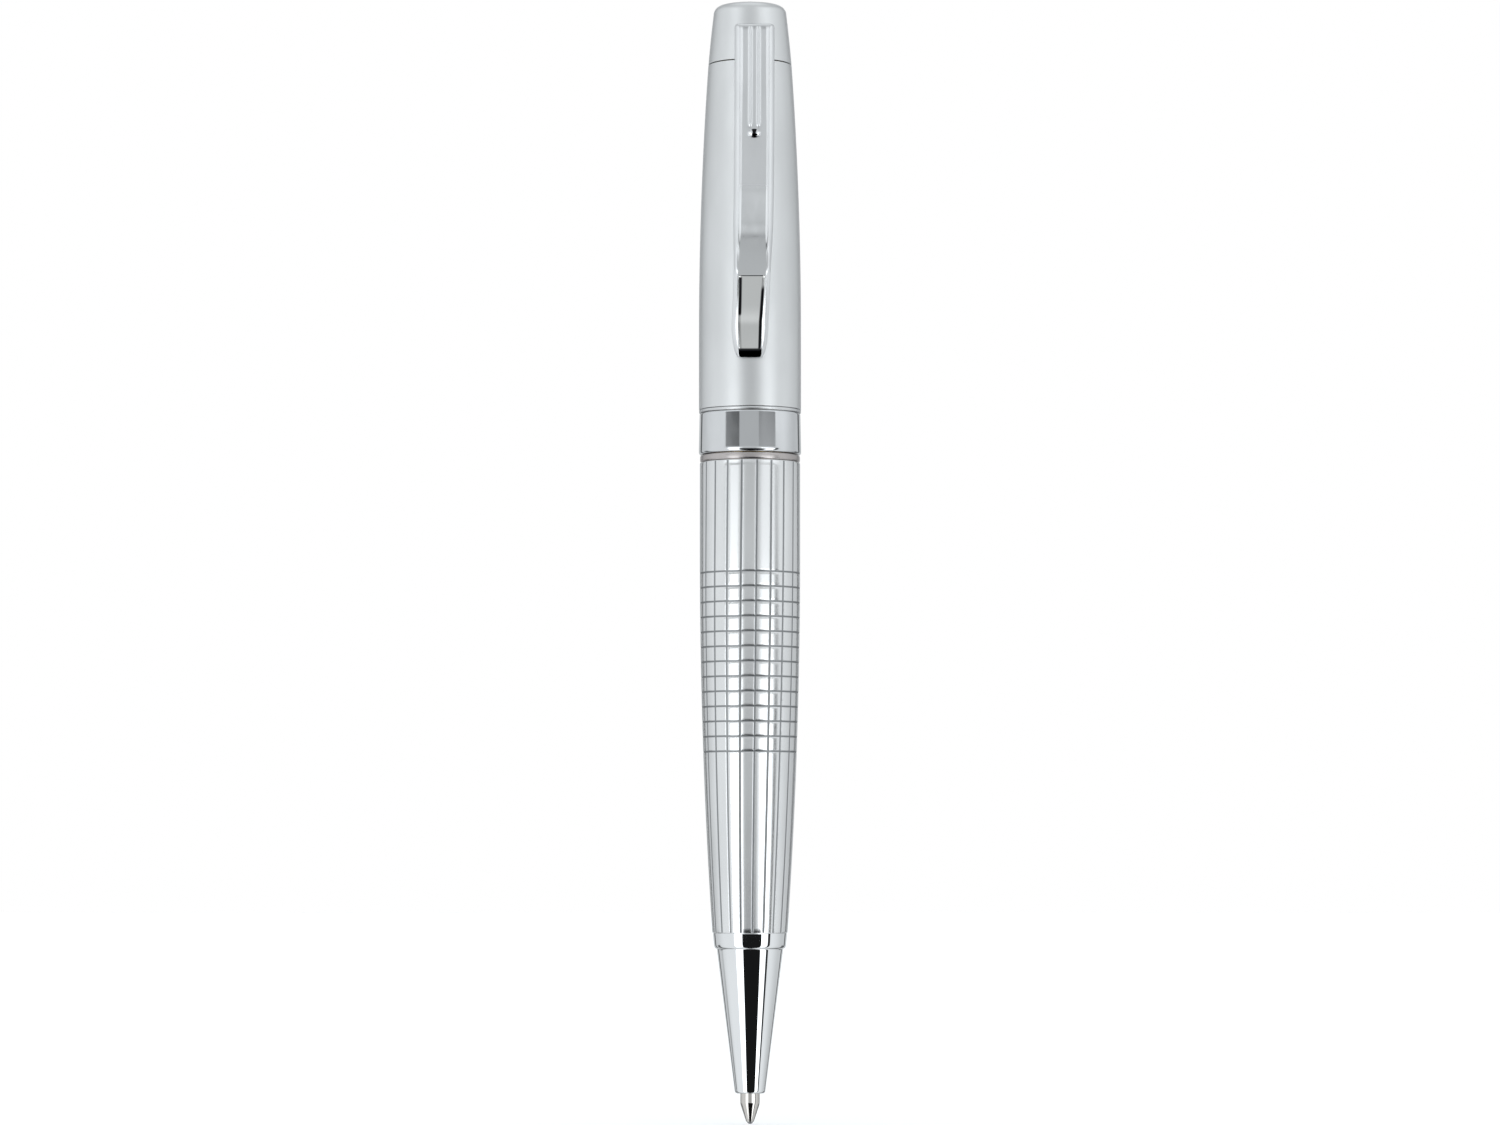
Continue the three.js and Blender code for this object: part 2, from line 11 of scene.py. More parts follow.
import bmesh
import bpy
import numpy as np
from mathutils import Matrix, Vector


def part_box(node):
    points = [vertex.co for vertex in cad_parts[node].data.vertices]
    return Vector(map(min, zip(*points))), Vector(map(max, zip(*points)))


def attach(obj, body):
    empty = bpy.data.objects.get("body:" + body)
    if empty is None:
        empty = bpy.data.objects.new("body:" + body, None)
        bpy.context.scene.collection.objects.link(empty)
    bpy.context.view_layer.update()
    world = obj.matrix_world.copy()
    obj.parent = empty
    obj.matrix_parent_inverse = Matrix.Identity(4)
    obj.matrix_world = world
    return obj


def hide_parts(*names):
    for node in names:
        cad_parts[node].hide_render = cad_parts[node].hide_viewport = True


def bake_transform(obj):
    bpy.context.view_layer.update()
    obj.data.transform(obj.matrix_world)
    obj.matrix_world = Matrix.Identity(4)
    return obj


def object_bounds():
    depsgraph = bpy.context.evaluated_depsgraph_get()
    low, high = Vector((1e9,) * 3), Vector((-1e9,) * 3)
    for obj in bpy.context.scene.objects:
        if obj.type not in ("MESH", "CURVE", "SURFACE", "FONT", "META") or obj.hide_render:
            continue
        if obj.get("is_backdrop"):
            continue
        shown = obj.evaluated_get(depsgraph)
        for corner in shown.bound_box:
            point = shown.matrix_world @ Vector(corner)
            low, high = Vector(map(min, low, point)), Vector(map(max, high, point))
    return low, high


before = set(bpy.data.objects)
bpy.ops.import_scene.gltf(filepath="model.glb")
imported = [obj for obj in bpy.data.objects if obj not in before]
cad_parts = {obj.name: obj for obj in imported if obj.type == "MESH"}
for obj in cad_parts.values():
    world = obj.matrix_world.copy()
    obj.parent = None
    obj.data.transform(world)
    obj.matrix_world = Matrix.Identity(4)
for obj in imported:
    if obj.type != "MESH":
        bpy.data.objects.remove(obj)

cad_low, cad_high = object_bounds()
MM = 0.001
PEN_LENGTH = (cad_high.z - cad_low.z) / MM
print(f"{len(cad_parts)} pieces in the packed model, {PEN_LENGTH:.2f} mm tall")

# %% [markdown]
# ## Camera
# A long lens from a little over half a metre keeps the sides of the pen nearly parallel. The camera stands
# lower than the middle of the pen and looks up by a few degrees, so the seams bow upwards at the top.

# %% Camera
CAMERA_DISTANCE = 0.592
CAMERA_TILT = math.radians(3.8)
AIM_HEIGHT = 0.06887
FOCAL_LENGTH = 115.2

camera_data = bpy.data.cameras.new("camera")
camera_data.lens = FOCAL_LENGTH
camera_data.sensor_width = 36
camera = bpy.data.objects.new("camera", camera_data)
camera.location = (
    0,
    -CAMERA_DISTANCE * math.cos(CAMERA_TILT),
    AIM_HEIGHT - CAMERA_DISTANCE * math.sin(CAMERA_TILT),
)
camera.rotation_euler = (math.pi / 2 + CAMERA_TILT, 0, 0)
camera_data.clip_start = 0.01
scene = bpy.context.scene
scene.collection.objects.link(camera)
scene.camera = camera
scene.view_settings.view_transform = "Standard"
print(f"camera {camera.location.length:.3f} m away, lens {camera_data.lens} mm")

# %% [markdown]
# ## Studio
# Polished metal shows the room more than itself, so the room is what gives this pen its look. It could be
# built from lamps and cards, but a world that is worked out from the direction alone is free of noise and
# needs no objects. Each row below is one soft panel of the room: the compass angles it covers, the
# elevations it covers, how soft its edge is and how bright it is. Later rows cover earlier ones.
# Angle 0 is straight in front of the clip, and positive angles go towards +X. The panels are for the metal:
# matte surfaces, such as the floor, see an even white room instead.

# %% Studio
ROOM_LEVEL = 0.62
DIFFUSE_LEVEL = 1.45
ROOM_COLOR = (0.945, 0.98, 1.0, 1)
PANELS = [
    # from, to, low, high, softness, brightness
    (-112, -20, -120, 120, 26, 0.86),
    (20, 100, -120, 120, 24, 0.86),
    (-205, -150, -90, 90, 4, 0.6),
    (150, 205, -90, 90, 4, 0.6),
    (-150, -140, -90, 40, 2, 0.12),
    (140, 150, -90, 40, 2, 0.12),
    (-24, 24, 10, 90, 8, 0.72),
    (-62, -24, 13, 28, 7, 1.3),
    (28, 66, 13, 28, 7, 1.3),
    (-24, 20, 5.5, 14.2, 0.5, 0.5),
    (-30, 5, 14.1, 14.8, 0.25, 0.2),
    (-57, -24, 6, 11, 1, 0.13),
    (20, 60, 6, 11, 1, 0.3),
    (-50, 46, -9.5, 5.5, 1.2, 0.92),
    (-17, 16, -12, 5, 3.5, 0.55),
    (-51, -24, -38, 3, 2, 2.2),
    (25, 57, -38, 1.5, 2, 2.2),
    (-25, 37, -95, -9.7, 0.8, 0.01),
    (59.5, 67.5, -60, 4, 0.7, 0.02),
    (-130, -114, -60, -9, 2, 0.12),
    (126, 141, -60, -9, 2, 0.12),
    (-400, 400, 40, 58, 8, 0.5),
    (-400, 400, 66, 100, 8, 0.85),
]

world = bpy.data.worlds.new("studio")
scene.world = world
world.use_nodes = True
room = world.node_tree
room.nodes.clear()


def math_node(tree, operation, *values):
    """One Math node; a value is a number or another node's output."""
    node = tree.nodes.new("ShaderNodeMath")
    node.operation = operation
    for socket, value in zip(node.inputs, values):
        if isinstance(value, (int, float)):
            socket.default_value = value
        else:
            tree.links.new(value, socket)
    return node.outputs[0]


def smooth_step(tree, value, low, high):
    """0 below low, 1 above high, and an S-shaped rise between them."""
    node = tree.nodes.new("ShaderNodeMapRange")
    node.interpolation_type = "SMOOTHSTEP"
    node.inputs["From Min"].default_value = low
    node.inputs["From Max"].default_value = high
    tree.links.new(value, node.inputs["Value"])
    return node.outputs["Result"]


def window(tree, value, low, high, soft):
    """1 between low and high, 0 outside, with edges that are 2 x soft wide."""
    rise = smooth_step(tree, value, low - soft, low + soft)
    fall = smooth_step(tree, value, high - soft, high + soft)
    return math_node(tree, "SUBTRACT", rise, fall)


direction = room.nodes.new("ShaderNodeTexCoord").outputs["Generated"]
parts = room.nodes.new("ShaderNodeSeparateXYZ")
room.links.new(direction, parts.inputs[0])
back = math_node(room, "MULTIPLY", parts.outputs["Y"], -1.0)
compass = math_node(room, "DEGREES", math_node(room, "ARCTAN2", parts.outputs["X"], back))
elevation = math_node(room, "DEGREES", math_node(room, "ARCSINE", parts.outputs["Z"]))

brightness = ROOM_LEVEL
for start, end, low, high, soft, level in PANELS:
    across = window(room, compass, start, end, soft)
    upwards = window(room, elevation, low, high, soft)
    share = math_node(room, "MULTIPLY", across, upwards)
    mix = room.nodes.new("ShaderNodeMix")
    room.links.new(share, mix.inputs["Factor"])
    if isinstance(brightness, float):
        mix.inputs["A"].default_value = brightness
    else:
        room.links.new(brightness, mix.inputs["A"])
    mix.inputs["B"].default_value = level
    brightness = mix.outputs["Result"]

light_path = room.nodes.new("ShaderNodeLightPath").outputs
matte = room.nodes.new("ShaderNodeMix")
room.links.new(light_path["Is Diffuse Ray"], matte.inputs["Factor"])
room.links.new(brightness, matte.inputs["A"])
matte.inputs["B"].default_value = DIFFUSE_LEVEL
panels_seen = room.nodes.new("ShaderNodeBackground")
room.links.new(matte.outputs["Result"], panels_seen.inputs["Strength"])
panels_seen.inputs["Color"].default_value = ROOM_COLOR
backdrop_seen = room.nodes.new("ShaderNodeBackground")
backdrop_seen.inputs["Color"].default_value = (1, 1, 1, 1)
choose = room.nodes.new("ShaderNodeMixShader")
room.links.new(light_path["Is Camera Ray"], choose.inputs["Fac"])
room.links.new(panels_seen.outputs[0], choose.inputs[1])
room.links.new(backdrop_seen.outputs[0], choose.inputs[2])
room.links.new(choose.outputs[0], room.nodes.new("ShaderNodeOutputWorld").inputs["Surface"])
print(f"a room of {len(PANELS)} soft panels")

# %% [markdown]
# ## Floor
# A wide pale floor just under the writing point. The chrome doesn't mirror it: the panels of the room run
# on below the horizon instead, as they do round a pen that hangs on a thread in a studio.

# %% Floor
FLOOR_RADIUS = 4.0
FLOOR_DROP = 0.0002

bpy.ops.mesh.primitive_circle_add(vertices=128, radius=FLOOR_RADIUS, fill_type="NGON")
floor = bpy.context.object
floor.name = "floor"
floor.location.z = cad_low.z - FLOOR_DROP
floor.visible_glossy = False
floor_finish = bpy.data.materials.new("pale_floor")
floor_finish.use_nodes = True
floor_finish.node_tree.nodes["Principled BSDF"].inputs["Base Color"].default_value = (0.86, 0.86, 0.86, 1)
floor_finish.node_tree.nodes["Principled BSDF"].inputs["Roughness"].default_value = 0.9
floor.data.materials.append(floor_finish)
floor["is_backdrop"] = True
print(f"floor at {floor.location.z / MM:.2f} mm")

# %% [markdown]
# ## Shared effects
# Three effects come back in several finishes, so each is a node group with named inputs and outputs:
# `smudges` is the slow, cloudy change in gloss that handling leaves, `turning_marks` are the fine lines that
# a lathe and a polishing wheel leave round a piece, and `frosting` is the tiny even grain of blasted metal.
# They read Object coordinates in metres, so a scale of 1000 is one cell per millimetre.

# %% Shared effects
def start_group(name, inputs, outputs):
    """A shader node group with named float inputs (with their usual value) and float outputs."""
    group = bpy.data.node_groups.new(name, "ShaderNodeTree")
    for label, value in inputs.items():
        socket = group.interface.new_socket(label, in_out="INPUT", socket_type="NodeSocketFloat")
        socket.default_value = value
    for label in outputs:
        group.interface.new_socket(label, in_out="OUTPUT", socket_type="NodeSocketFloat")
    given = group.nodes.new("NodeGroupInput")
    result = group.nodes.new("NodeGroupOutput")
    return group, given.outputs, result.inputs


def object_place(tree, scale):
    """Object coordinates stretched by a scale for each axis."""
    mapping = tree.nodes.new("ShaderNodeMapping")
    mapping.inputs["Scale"].default_value = scale
    tree.links.new(tree.nodes.new("ShaderNodeTexCoord").outputs["Object"], mapping.inputs["Vector"])
    return mapping.outputs["Vector"]


def noise(tree, place, scale, detail=2.0):
    """One Noise Texture; scale is a number or another node's output."""
    node = tree.nodes.new("ShaderNodeTexNoise")
    tree.links.new(place, node.inputs["Vector"])
    if isinstance(scale, (int, float)):
        node.inputs["Scale"].default_value = scale
    else:
        tree.links.new(scale, node.inputs["Scale"])
    node.inputs["Detail"].default_value = detail
    return node.outputs["Fac"]


def between(tree, mask, low, high):
    """Turns a 0 to 1 mask into a value that runs from low to high."""
    node = tree.nodes.new("ShaderNodeMapRange")
    for label, value in (("Value", mask), ("To Min", low), ("To Max", high)):
        if isinstance(value, (int, float)):
            node.inputs[label].default_value = value
        else:
            tree.links.new(value, node.inputs[label])
    return node.outputs["Result"]


smudges, given, result = start_group(
    "smudges", {"Scale": 180.0, "Clean": 0.0, "Dull": 1.0}, ["Roughness", "Mask"]
)
cloud = noise(smudges, object_place(smudges, (1, 1, 0.4)), given["Scale"], 4.0)
mask = smooth_step(smudges, cloud, 0.35, 0.7)
smudges.links.new(mask, result["Mask"])
smudges.links.new(between(smudges, mask, given["Clean"], given["Dull"]), result["Roughness"])

turning_marks, given, result = start_group("turning_marks", {"Lines per metre": 9000.0}, ["Height", "Mask"])
rings = noise(turning_marks, object_place(turning_marks, (0.02, 0.02, 1)), given["Lines per metre"], 3.0)
turning_marks.links.new(rings, result["Height"])
turning_marks.links.new(smooth_step(turning_marks, rings, 0.3, 0.75), result["Mask"])

frosting, given, result = start_group("frosting", {"Grains per metre": 22000.0}, ["Height", "Mask"])
grain = noise(frosting, object_place(frosting, (1, 1, 1)), given["Grains per metre"], 1.0)
frosting.links.new(grain, result["Height"])
frosting.links.new(smooth_step(frosting, grain, 0.3, 0.7), result["Mask"])
print("shared effects:", ", ".join(g.name for g in bpy.data.node_groups))

# %% [markdown]
# ## From formulas to meshes
# Nearly every piece is a surface of two parameters: one runs along an outline and one runs round it. A grid
# of points is worked out in one go as a numpy array, its neighbours are joined into four-sided faces, and
# its open ends are closed. Points that fall together, as at a pole, are merged, and the faces are turned
# to point outwards. An outline is a list of [radius, height, round] corners in millimetres.

# %% Mesh helpers
ROUND = 192  # columns round a turned piece


def mesh_from_grid(name, grid, wrap_rows, **masks):
    """Joins a grid of points (rows x columns x 3, millimetres) into a closed mesh. Columns always join up.
    Rows join up too, or else the first and last rows are filled. Each mask is a value for each point, kept
    as an attribute of the mesh."""
    rows, columns = grid.shape[:2]
    index = np.arange(rows * columns).reshape(rows, columns)
    if wrap_rows:
        index = np.vstack([index, index[:1]])
    index = np.hstack([index, index[:, :1]])
    corners = [index[:-1, :-1], index[:-1, 1:], index[1:, 1:], index[1:, :-1]]
    faces = np.stack(corners, -1).reshape(-1, 4).tolist()
    if not wrap_rows:
        faces += [index[0, :-1][::-1].tolist(), index[-1, :-1].tolist()]
    mesh = bpy.data.meshes.new(name)
    mesh.from_pydata((grid.reshape(-1, 3) * MM).tolist(), [], faces)
    for label, values in masks.items():
        attribute = mesh.attributes.new(label, "FLOAT", "POINT")
        attribute.data.foreach_set("value", values.astype(np.float32).ravel())
    return tidy_mesh(mesh)


def tidy_mesh(mesh):
    """Merges points that fall together and turns every face outwards."""
    work = bmesh.new()
    work.from_mesh(mesh)
    bmesh.ops.remove_doubles(work, verts=work.verts, dist=1e-8)
    bmesh.ops.recalc_face_normals(work, faces=work.faces)
    work.to_mesh(mesh)
    work.free()
    return mesh


def place(name, mesh, body, node, slot, finish, sharp=38):
    """Shows a mesh as a piece that rides on a body and stands for a CAD node. Edges that turn by more than
    `sharp` degrees stay crisp, and the shading follows the larger faces."""
    mesh.shade_smooth()
    mesh.set_sharp_from_angle(angle=math.radians(sharp))
    piece = bpy.data.objects.new(name, mesh)
    scene.collection.objects.link(piece)
    even = piece.modifiers.new("even_shading", "WEIGHTED_NORMAL")
    even.keep_sharp = True
    mesh.materials.append(finish)
    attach(piece, body)
    if node:
        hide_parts(node)
    print(f"{name}: {len(mesh.polygons)} faces, on {body}")
    return piece


def heights(node):
    """Lowest and highest millimetre of a CAD node."""
    low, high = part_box(node)
    return low.z / MM, high.z / MM


def wall(radius, start, end, steps):
    """Outline corners along a wall whose radius is a function of height."""
    z = np.linspace(start, end, steps)
    return np.stack([radius(z), z, 0 * z], -1).tolist()


def quarter(start, end, steps=8):
    """Outline corners on a quarter of an ellipse that leaves its start along the axis."""
    a = np.linspace(0, math.pi / 2, steps)
    r = end[0] + (start[0] - end[0]) * np.cos(a)
    z = start[1] + (end[1] - start[1]) * np.sin(a)
    return np.stack([r, z, 0 * z], -1).tolist()


def rounded(outline, steps=6):
    """Replaces each corner that has a round by the curve (1-t)^2 a + 2 t (1-t) corner + t^2 b, where a and b
    lie that far from the corner on its two sides. Points that repeat are dropped."""
    corners = np.array(outline, float)
    points, cut = corners[:, :2], corners[:, 2:]
    before, after = np.roll(points, 1, 0) - points, np.roll(points, -1, 0) - points
    a = points + before / np.maximum(np.linalg.norm(before, axis=1, keepdims=True), 1e-9) * cut
    b = points + after / np.maximum(np.linalg.norm(after, axis=1, keepdims=True), 1e-9) * cut
    t = np.linspace(0, 1, steps)[None, :, None]
    curve = (1 - t) ** 2 * a[:, None] + 2 * t * (1 - t) * points[:, None] + t**2 * b[:, None]
    curve = curve.reshape(-1, 2)
    keep = np.linalg.norm(curve - np.roll(curve, 1, 0), axis=1) > 1e-6
    keep[0] = True
    return curve[keep]


def turned(name, outline, columns=ROUND):
    """Carries an outline round the axis: x = r cos a, y = r sin a. An outline that starts on the axis ends
    there too; any other closes on itself."""
    line = rounded(outline)
    a = np.linspace(0, 2 * math.pi, columns, endpoint=False)
    r, z = line[:, :1], line[:, 1:]
    grid = np.stack([r * np.cos(a), r * np.sin(a), z + 0 * a], -1)
    return mesh_from_grid(name, grid, wrap_rows=outline[0][0] > 0)


def carve(mesh, *cutters):
    """Cuts closed meshes out of a closed mesh and returns the rest as a new mesh."""
    host = bpy.data.objects.new("host", mesh)
    scene.collection.objects.link(host)
    tools = []
    for cutter in cutters:
        tool = bpy.data.objects.new("cutter", cutter)
        scene.collection.objects.link(tool)
        tools.append(tool)
        difference = host.modifiers.new("cut", "BOOLEAN")
        difference.object = tool
        difference.solver = "EXACT"
    bpy.context.view_layer.update()
    result = bpy.data.meshes.new_from_object(host.evaluated_get(bpy.context.evaluated_depsgraph_get()))
    result.name = mesh.name + "_cut"
    for used in [host, *tools]:
        bpy.data.objects.remove(used)
    return tidy_mesh(result)


def block(low, high):
    """A plain box between two corners, for cutting."""
    x, y = np.array([[low[0], high[0]], [low[1], high[1]]])
    ring = np.array([[x[0], y[0]], [x[1], y[0]], [x[1], y[1]], [x[0], y[1]]])
    grid = np.stack([np.column_stack([ring, np.full(4, z)]) for z in (low[2], high[2])])
    return mesh_from_grid("block", grid, wrap_rows=False)


def cross_bar(radius, from_x, to_x, y, z, bevel=0.0, columns=48):
    """A round bar along X, with a small bevel at each end."""
    line = rounded([[0, from_x, 0], [radius, from_x, bevel], [radius, to_x, bevel], [0, to_x, 0]])
    a = np.linspace(0, 2 * math.pi, columns, endpoint=False)
    r, x = line[:, :1], line[:, 1:]
    grid = np.stack([x + 0 * a, y + r * np.cos(a), z + r * np.sin(a)], -1)
    return mesh_from_grid("cross_bar", grid, wrap_rows=False)


def wire_along(name, path, radius, around, columns=12):
    """Carries a circle along a path. The circle is spanned by two unit directions at right angles to the
    path: its cross product with the direction `around`, and the cross product of both."""
    along = np.gradient(path, axis=0)
    along /= np.linalg.norm(along, axis=1, keepdims=True)
    first = np.cross(along, np.array(around, float))
    first /= np.linalg.norm(first, axis=1, keepdims=True)
    second = np.cross(along, first)
    a = np.linspace(0, 2 * math.pi, columns, endpoint=False)[None, :, None]
    grid = path[:, None] + radius * (np.cos(a) * first[:, None] + np.sin(a) * second[:, None])
    return mesh_from_grid(name, grid, wrap_rows=False)


print("mesh helpers ready")

# %% [markdown]
# ## Finishes
# Each finish starts as a plain Principled surface whose gloss wanders between clean and dull with the
# smudges, and whose colour darkens slightly where it is dull. Relief is added as a bump that is given in
# millimetres, so it stays in scale with the piece.

# %% Finish helpers
def use_group(tree, group, **values):
    """Places a shared effect in a material. Its inputs are set by name, with _ for a space."""
    node = tree.nodes.new("ShaderNodeGroup")
    node.node_tree = group
    for label, value in values.items():
        node.inputs[label.replace("_", " ")].default_value = value
    return node.outputs


def shade(tree, mask, first, second):
    """A colour that runs from first to second with a mask."""
    node = tree.nodes.new("ShaderNodeMix")
    node.data_type = "RGBA"
    tree.links.new(mask, node.inputs["Factor"])
    colors = [s for s in node.inputs if s.type == "RGBA"]
    for socket, color in zip(colors, (first, second)):
        if isinstance(color, tuple):
            socket.default_value = (*color, 1)
        else:
            tree.links.new(color, socket)
    return [s for s in node.outputs if s.type == "RGBA"][0]


def new_finish(name, color, metallic, clean, dull, darker=0.93, scale=180.0):
    """A surface whose roughness runs from clean to dull and whose colour is `darker` where it is dull."""
    material = bpy.data.materials.new(name)
    material.use_nodes = True
    tree = material.node_tree
    shader = tree.nodes["Principled BSDF"]
    shader.inputs["Metallic"].default_value = metallic
    cloudy = use_group(tree, smudges, Scale=scale, Clean=clean, Dull=dull)
    tree.links.new(cloudy["Roughness"], shader.inputs["Roughness"])
    dim = tuple(darker * c for c in color)
    tree.links.new(shade(tree, cloudy["Mask"], color, dim), shader.inputs["Base Color"])
    return material


def mask_of(material, label, low, high):
    """An attribute of the mesh as a mask: 0 below low and 1 above high."""
    tree = material.node_tree
    value = tree.nodes.new("ShaderNodeAttribute")
    value.attribute_name = label
    return smooth_step(tree, value.outputs["Fac"], low, high)


def rework(material, label, change):
    """Passes an input of the surface through a function of the tree and of what feeds the input now."""
    tree = material.node_tree
    socket = tree.nodes["Principled BSDF"].inputs[label]
    tree.links.new(change(tree, socket.links[0].from_socket), socket)


def add_relief(material, height, depth):
    """Bumps the surface by a height output of its own tree; depth is in millimetres."""
    tree = material.node_tree
    normal = tree.nodes["Principled BSDF"].inputs["Normal"]
    bump = tree.nodes.new("ShaderNodeBump")
    bump.inputs["Distance"].default_value = depth * MM
    tree.links.new(height, bump.inputs["Height"])
    if normal.is_linked:
        tree.links.new(normal.links[0].from_socket, bump.inputs["Normal"])
    tree.links.new(bump.outputs["Normal"], normal)
    return material


def turned_metal(name, color, clean, dull, marks=9000.0, depth=0.0004, **more):
    """Metal from the lathe: the shared smudges over faint lines round the axis."""
    material = new_finish(name, color, 1.0, clean, dull, **more)
    lines = use_group(material.node_tree, turning_marks, Lines_per_metre=marks)
    return add_relief(material, lines["Height"], depth)


def frosted_metal(name, color, clean, dull, grains=22000.0, depth=0.0006, **more):
    """Blasted metal: the shared smudges over an even grain."""
    material = new_finish(name, color, 1.0, clean, dull, **more)
    grain = use_group(material.node_tree, frosting, Grains_per_metre=grains)
    return add_relief(material, grain["Height"], depth)


def moulded(name, color, clean, dull, grains=9000.0, depth=0.001, **more):
    """Moulded plastic or rubber: the same grain, coarser, over a surface that isn't metal."""
    material = new_finish(name, color, 0.0, clean, dull, **more)
    grain = use_group(material.node_tree, frosting, Grains_per_metre=grains)
    return add_relief(material, grain["Height"], depth)


# %% [markdown]
# ## End cap and upper barrel
# Both are frosted silver tube, and the seam between them is the only line on the upper half. The cap is
# turned from its formula, with an elliptical crown, and the slot and hole that the clip turns in are cut
# out of it afterwards. The barrel is a shallow arc with an even wall.

# %% Frosted silver
SILVER = (0.87, 0.88, 0.885)
satin = frosted_metal("frosted_silver", SILVER, 0.36, 0.44, scale=120.0)

# %% End cap
CAP_LOW, CAP_HIGH = heights("end_cap")
CROWN_EDGE = CAP_HIGH - 1.2  # where the side turns in
CROWN_TOP = CAP_HIGH - 0.15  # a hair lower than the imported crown
CROWN_FLAT = 3.4
PIVOT_LOW, PIVOT_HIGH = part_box("clip_pivot_pin")
HEAD_X = 0.564
PIVOT_Y = (PIVOT_LOW.y + PIVOT_HIGH.y) / 2 / MM
PIVOT_Z = (PIVOT_LOW.z + PIVOT_HIGH.z) / 2 / MM
PIVOT_RADIUS = (PIVOT_HIGH.z - PIVOT_LOW.z) / 2 / MM
SCREW_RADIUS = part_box("cap_screw")[1].x / MM


def cap_radius(z):
    """Side of the cap: 5.135 mm, less 0.085 t and 0.003 t squared, t being the height above 131.02 mm."""
    t = z - 131.02
    return 5.135 - 0.085 * t - 0.003 * t**2


cap_outline = [
    [0, CAP_LOW, 0],
    [float(cap_radius(CAP_LOW)), CAP_LOW, 0.06],
    *wall(cap_radius, CAP_LOW + 0.15, CROWN_EDGE, 14),
    *quarter((float(cap_radius(CROWN_EDGE)), CROWN_EDGE), (CROWN_FLAT, CROWN_TOP), 12)[1:],
    [0, CROWN_TOP, 0],
]
cap_mesh = carve(
    turned("end_cap_shell", cap_outline),
    block((HEAD_X - 1.9, -6, PIVOT_Z - 2.4), (HEAD_X + 1.1, -2.1, PIVOT_Z + 1.15)),
    cross_bar(PIVOT_RADIUS + 0.05, HEAD_X - 2.65, HEAD_X + 1.85, PIVOT_Y, PIVOT_Z),
    turned("screw_hole", [[0, CAP_LOW - 1, 0], [SCREW_RADIUS + 0.05, CAP_LOW - 1, 0],
                          [SCREW_RADIUS + 0.05, 135.6, 0], [0, 135.6, 0]], 48),
)
place("end_cap_shell", cap_mesh, "upper_half", "end_cap", "satin_silver", satin, sharp=30)

# %% Upper barrel
LIP_LOST_ABOVE = 0.15  # the lip below the barrel is shown this much shorter at its top, in millimetres
BARREL_LOW, BARREL_HIGH = heights("upper_barrel")
BARREL_LOW -= LIP_LOST_ABOVE
WIDEST = 6.31
WALL = 0.6


def upper_radius(z):
    """Side of the upper barrel: 6.31 mm, less 0.001052 times the square of the height above 97.7 mm."""
    return WIDEST - 1.052e-3 * np.maximum(0, z - 97.7) ** 2


upper_outline = [
    [float(upper_radius(BARREL_LOW)) - WALL, BARREL_LOW, 0],
    [float(upper_radius(BARREL_LOW)), BARREL_LOW, 0.05],
    *wall(upper_radius, BARREL_LOW + 0.12, BARREL_HIGH - 0.12, 60),
    [float(upper_radius(BARREL_HIGH)), BARREL_HIGH, 0.05],
    [float(upper_radius(BARREL_HIGH)) - WALL, BARREL_HIGH, 0],
    *wall(lambda z: upper_radius(z) - WALL, BARREL_HIGH - 0.1, BARREL_LOW + 0.1, 16),
]
place("upper_barrel_tube", turned("upper_barrel_tube", upper_outline), "upper_half", "upper_barrel",
      "satin_silver", satin)

# %% [markdown]
# ## Clip
# The clip is one pressing: a long flat leaf with bevelled sides, two raised ridges below the head, and a
# scooped foot between two rails. It is a grid of cross sections stacked up the leaf. In each section the
# columns sit on the lines that matter, which are the side, the rim of the bevel, the edge of the scoop and
# the ridges, so every edge of the pressing follows a column. It also leans: its foot hangs straight and its
# head sits about half a millimetre to +X.

# %% Clip leaf
CLIP_LOW, CLIP_HIGH = heights("clip")
RIDGE_AT = 0.5
RIDGE_HEIGHT = 0.2
RIM_AT = 1.8
RIM_HEIGHT = 0.1
BEVEL_DROP = 0.42
FACE_DISH = 0.07
SCOOP_TOP = 103.55
WALL_WIDTH = 0.24
# Heights of a painted dark reflection that lies across the foot of the scoop.
FOOT_PAINTED_DARK = (94.58, 94.66)  # the scoop is dark below the first and clear above the second
TOE = 0.12
LEAF_SLOPE = 0.0631
FROSTED_GLOSS = 0.31


def eased(value, start, end):
    """0 at start, 1 at end and an S-shaped change between, whichever of the two is larger."""
    t = np.clip((value - start) / (end - start), 0, 1)
    return t * t * (3 - 2 * t)


def clip_front(z):
    """Front of the leaf: upright at -7.6 mm below 106.9, sloping back by 0.0631 per mm above 110.1, with a
    parabola between. Below 103 it curls back to the barrel, and at the head it is rounded over."""
    bent = np.clip(z - 106.9, 0, 3.2) ** 2 / 6.4 + np.maximum(z - 110.1, 0)
    foot = 1.34e-3 * np.maximum(103 - z, 0) ** 2.917
    over = np.clip((z - (CLIP_HIGH - 0.4)) / 0.4, 0, 1)
    return -7.6 + LEAF_SLOPE * bent + foot + 0.5 * (1 - np.sqrt(1 - over**2))


def clip_half_width(z):
    """Half width of the leaf: 2.42 mm at the head, 2.2 along the rails and 1.6 at the foot."""
    corner = np.clip((z - (CLIP_HIGH - 0.5)) / 0.5, 0, 1)
    toe = np.clip((98 - z) / 4.4, 0, 1)
    return 2.42 - 0.2 * eased(z, 111, 103) - 0.62 * toe**2.5 - 0.4 * (1 - np.sqrt(1 - corner**2))


def scoop_floor(z):
    """Floor of the scoop: upright at -6.88 mm near the foot, and forward by 0.0085 times the square of the
    height above 97.4 mm."""
    return -6.88 - 0.0085 * np.maximum(z - 97.4, 0) ** 2


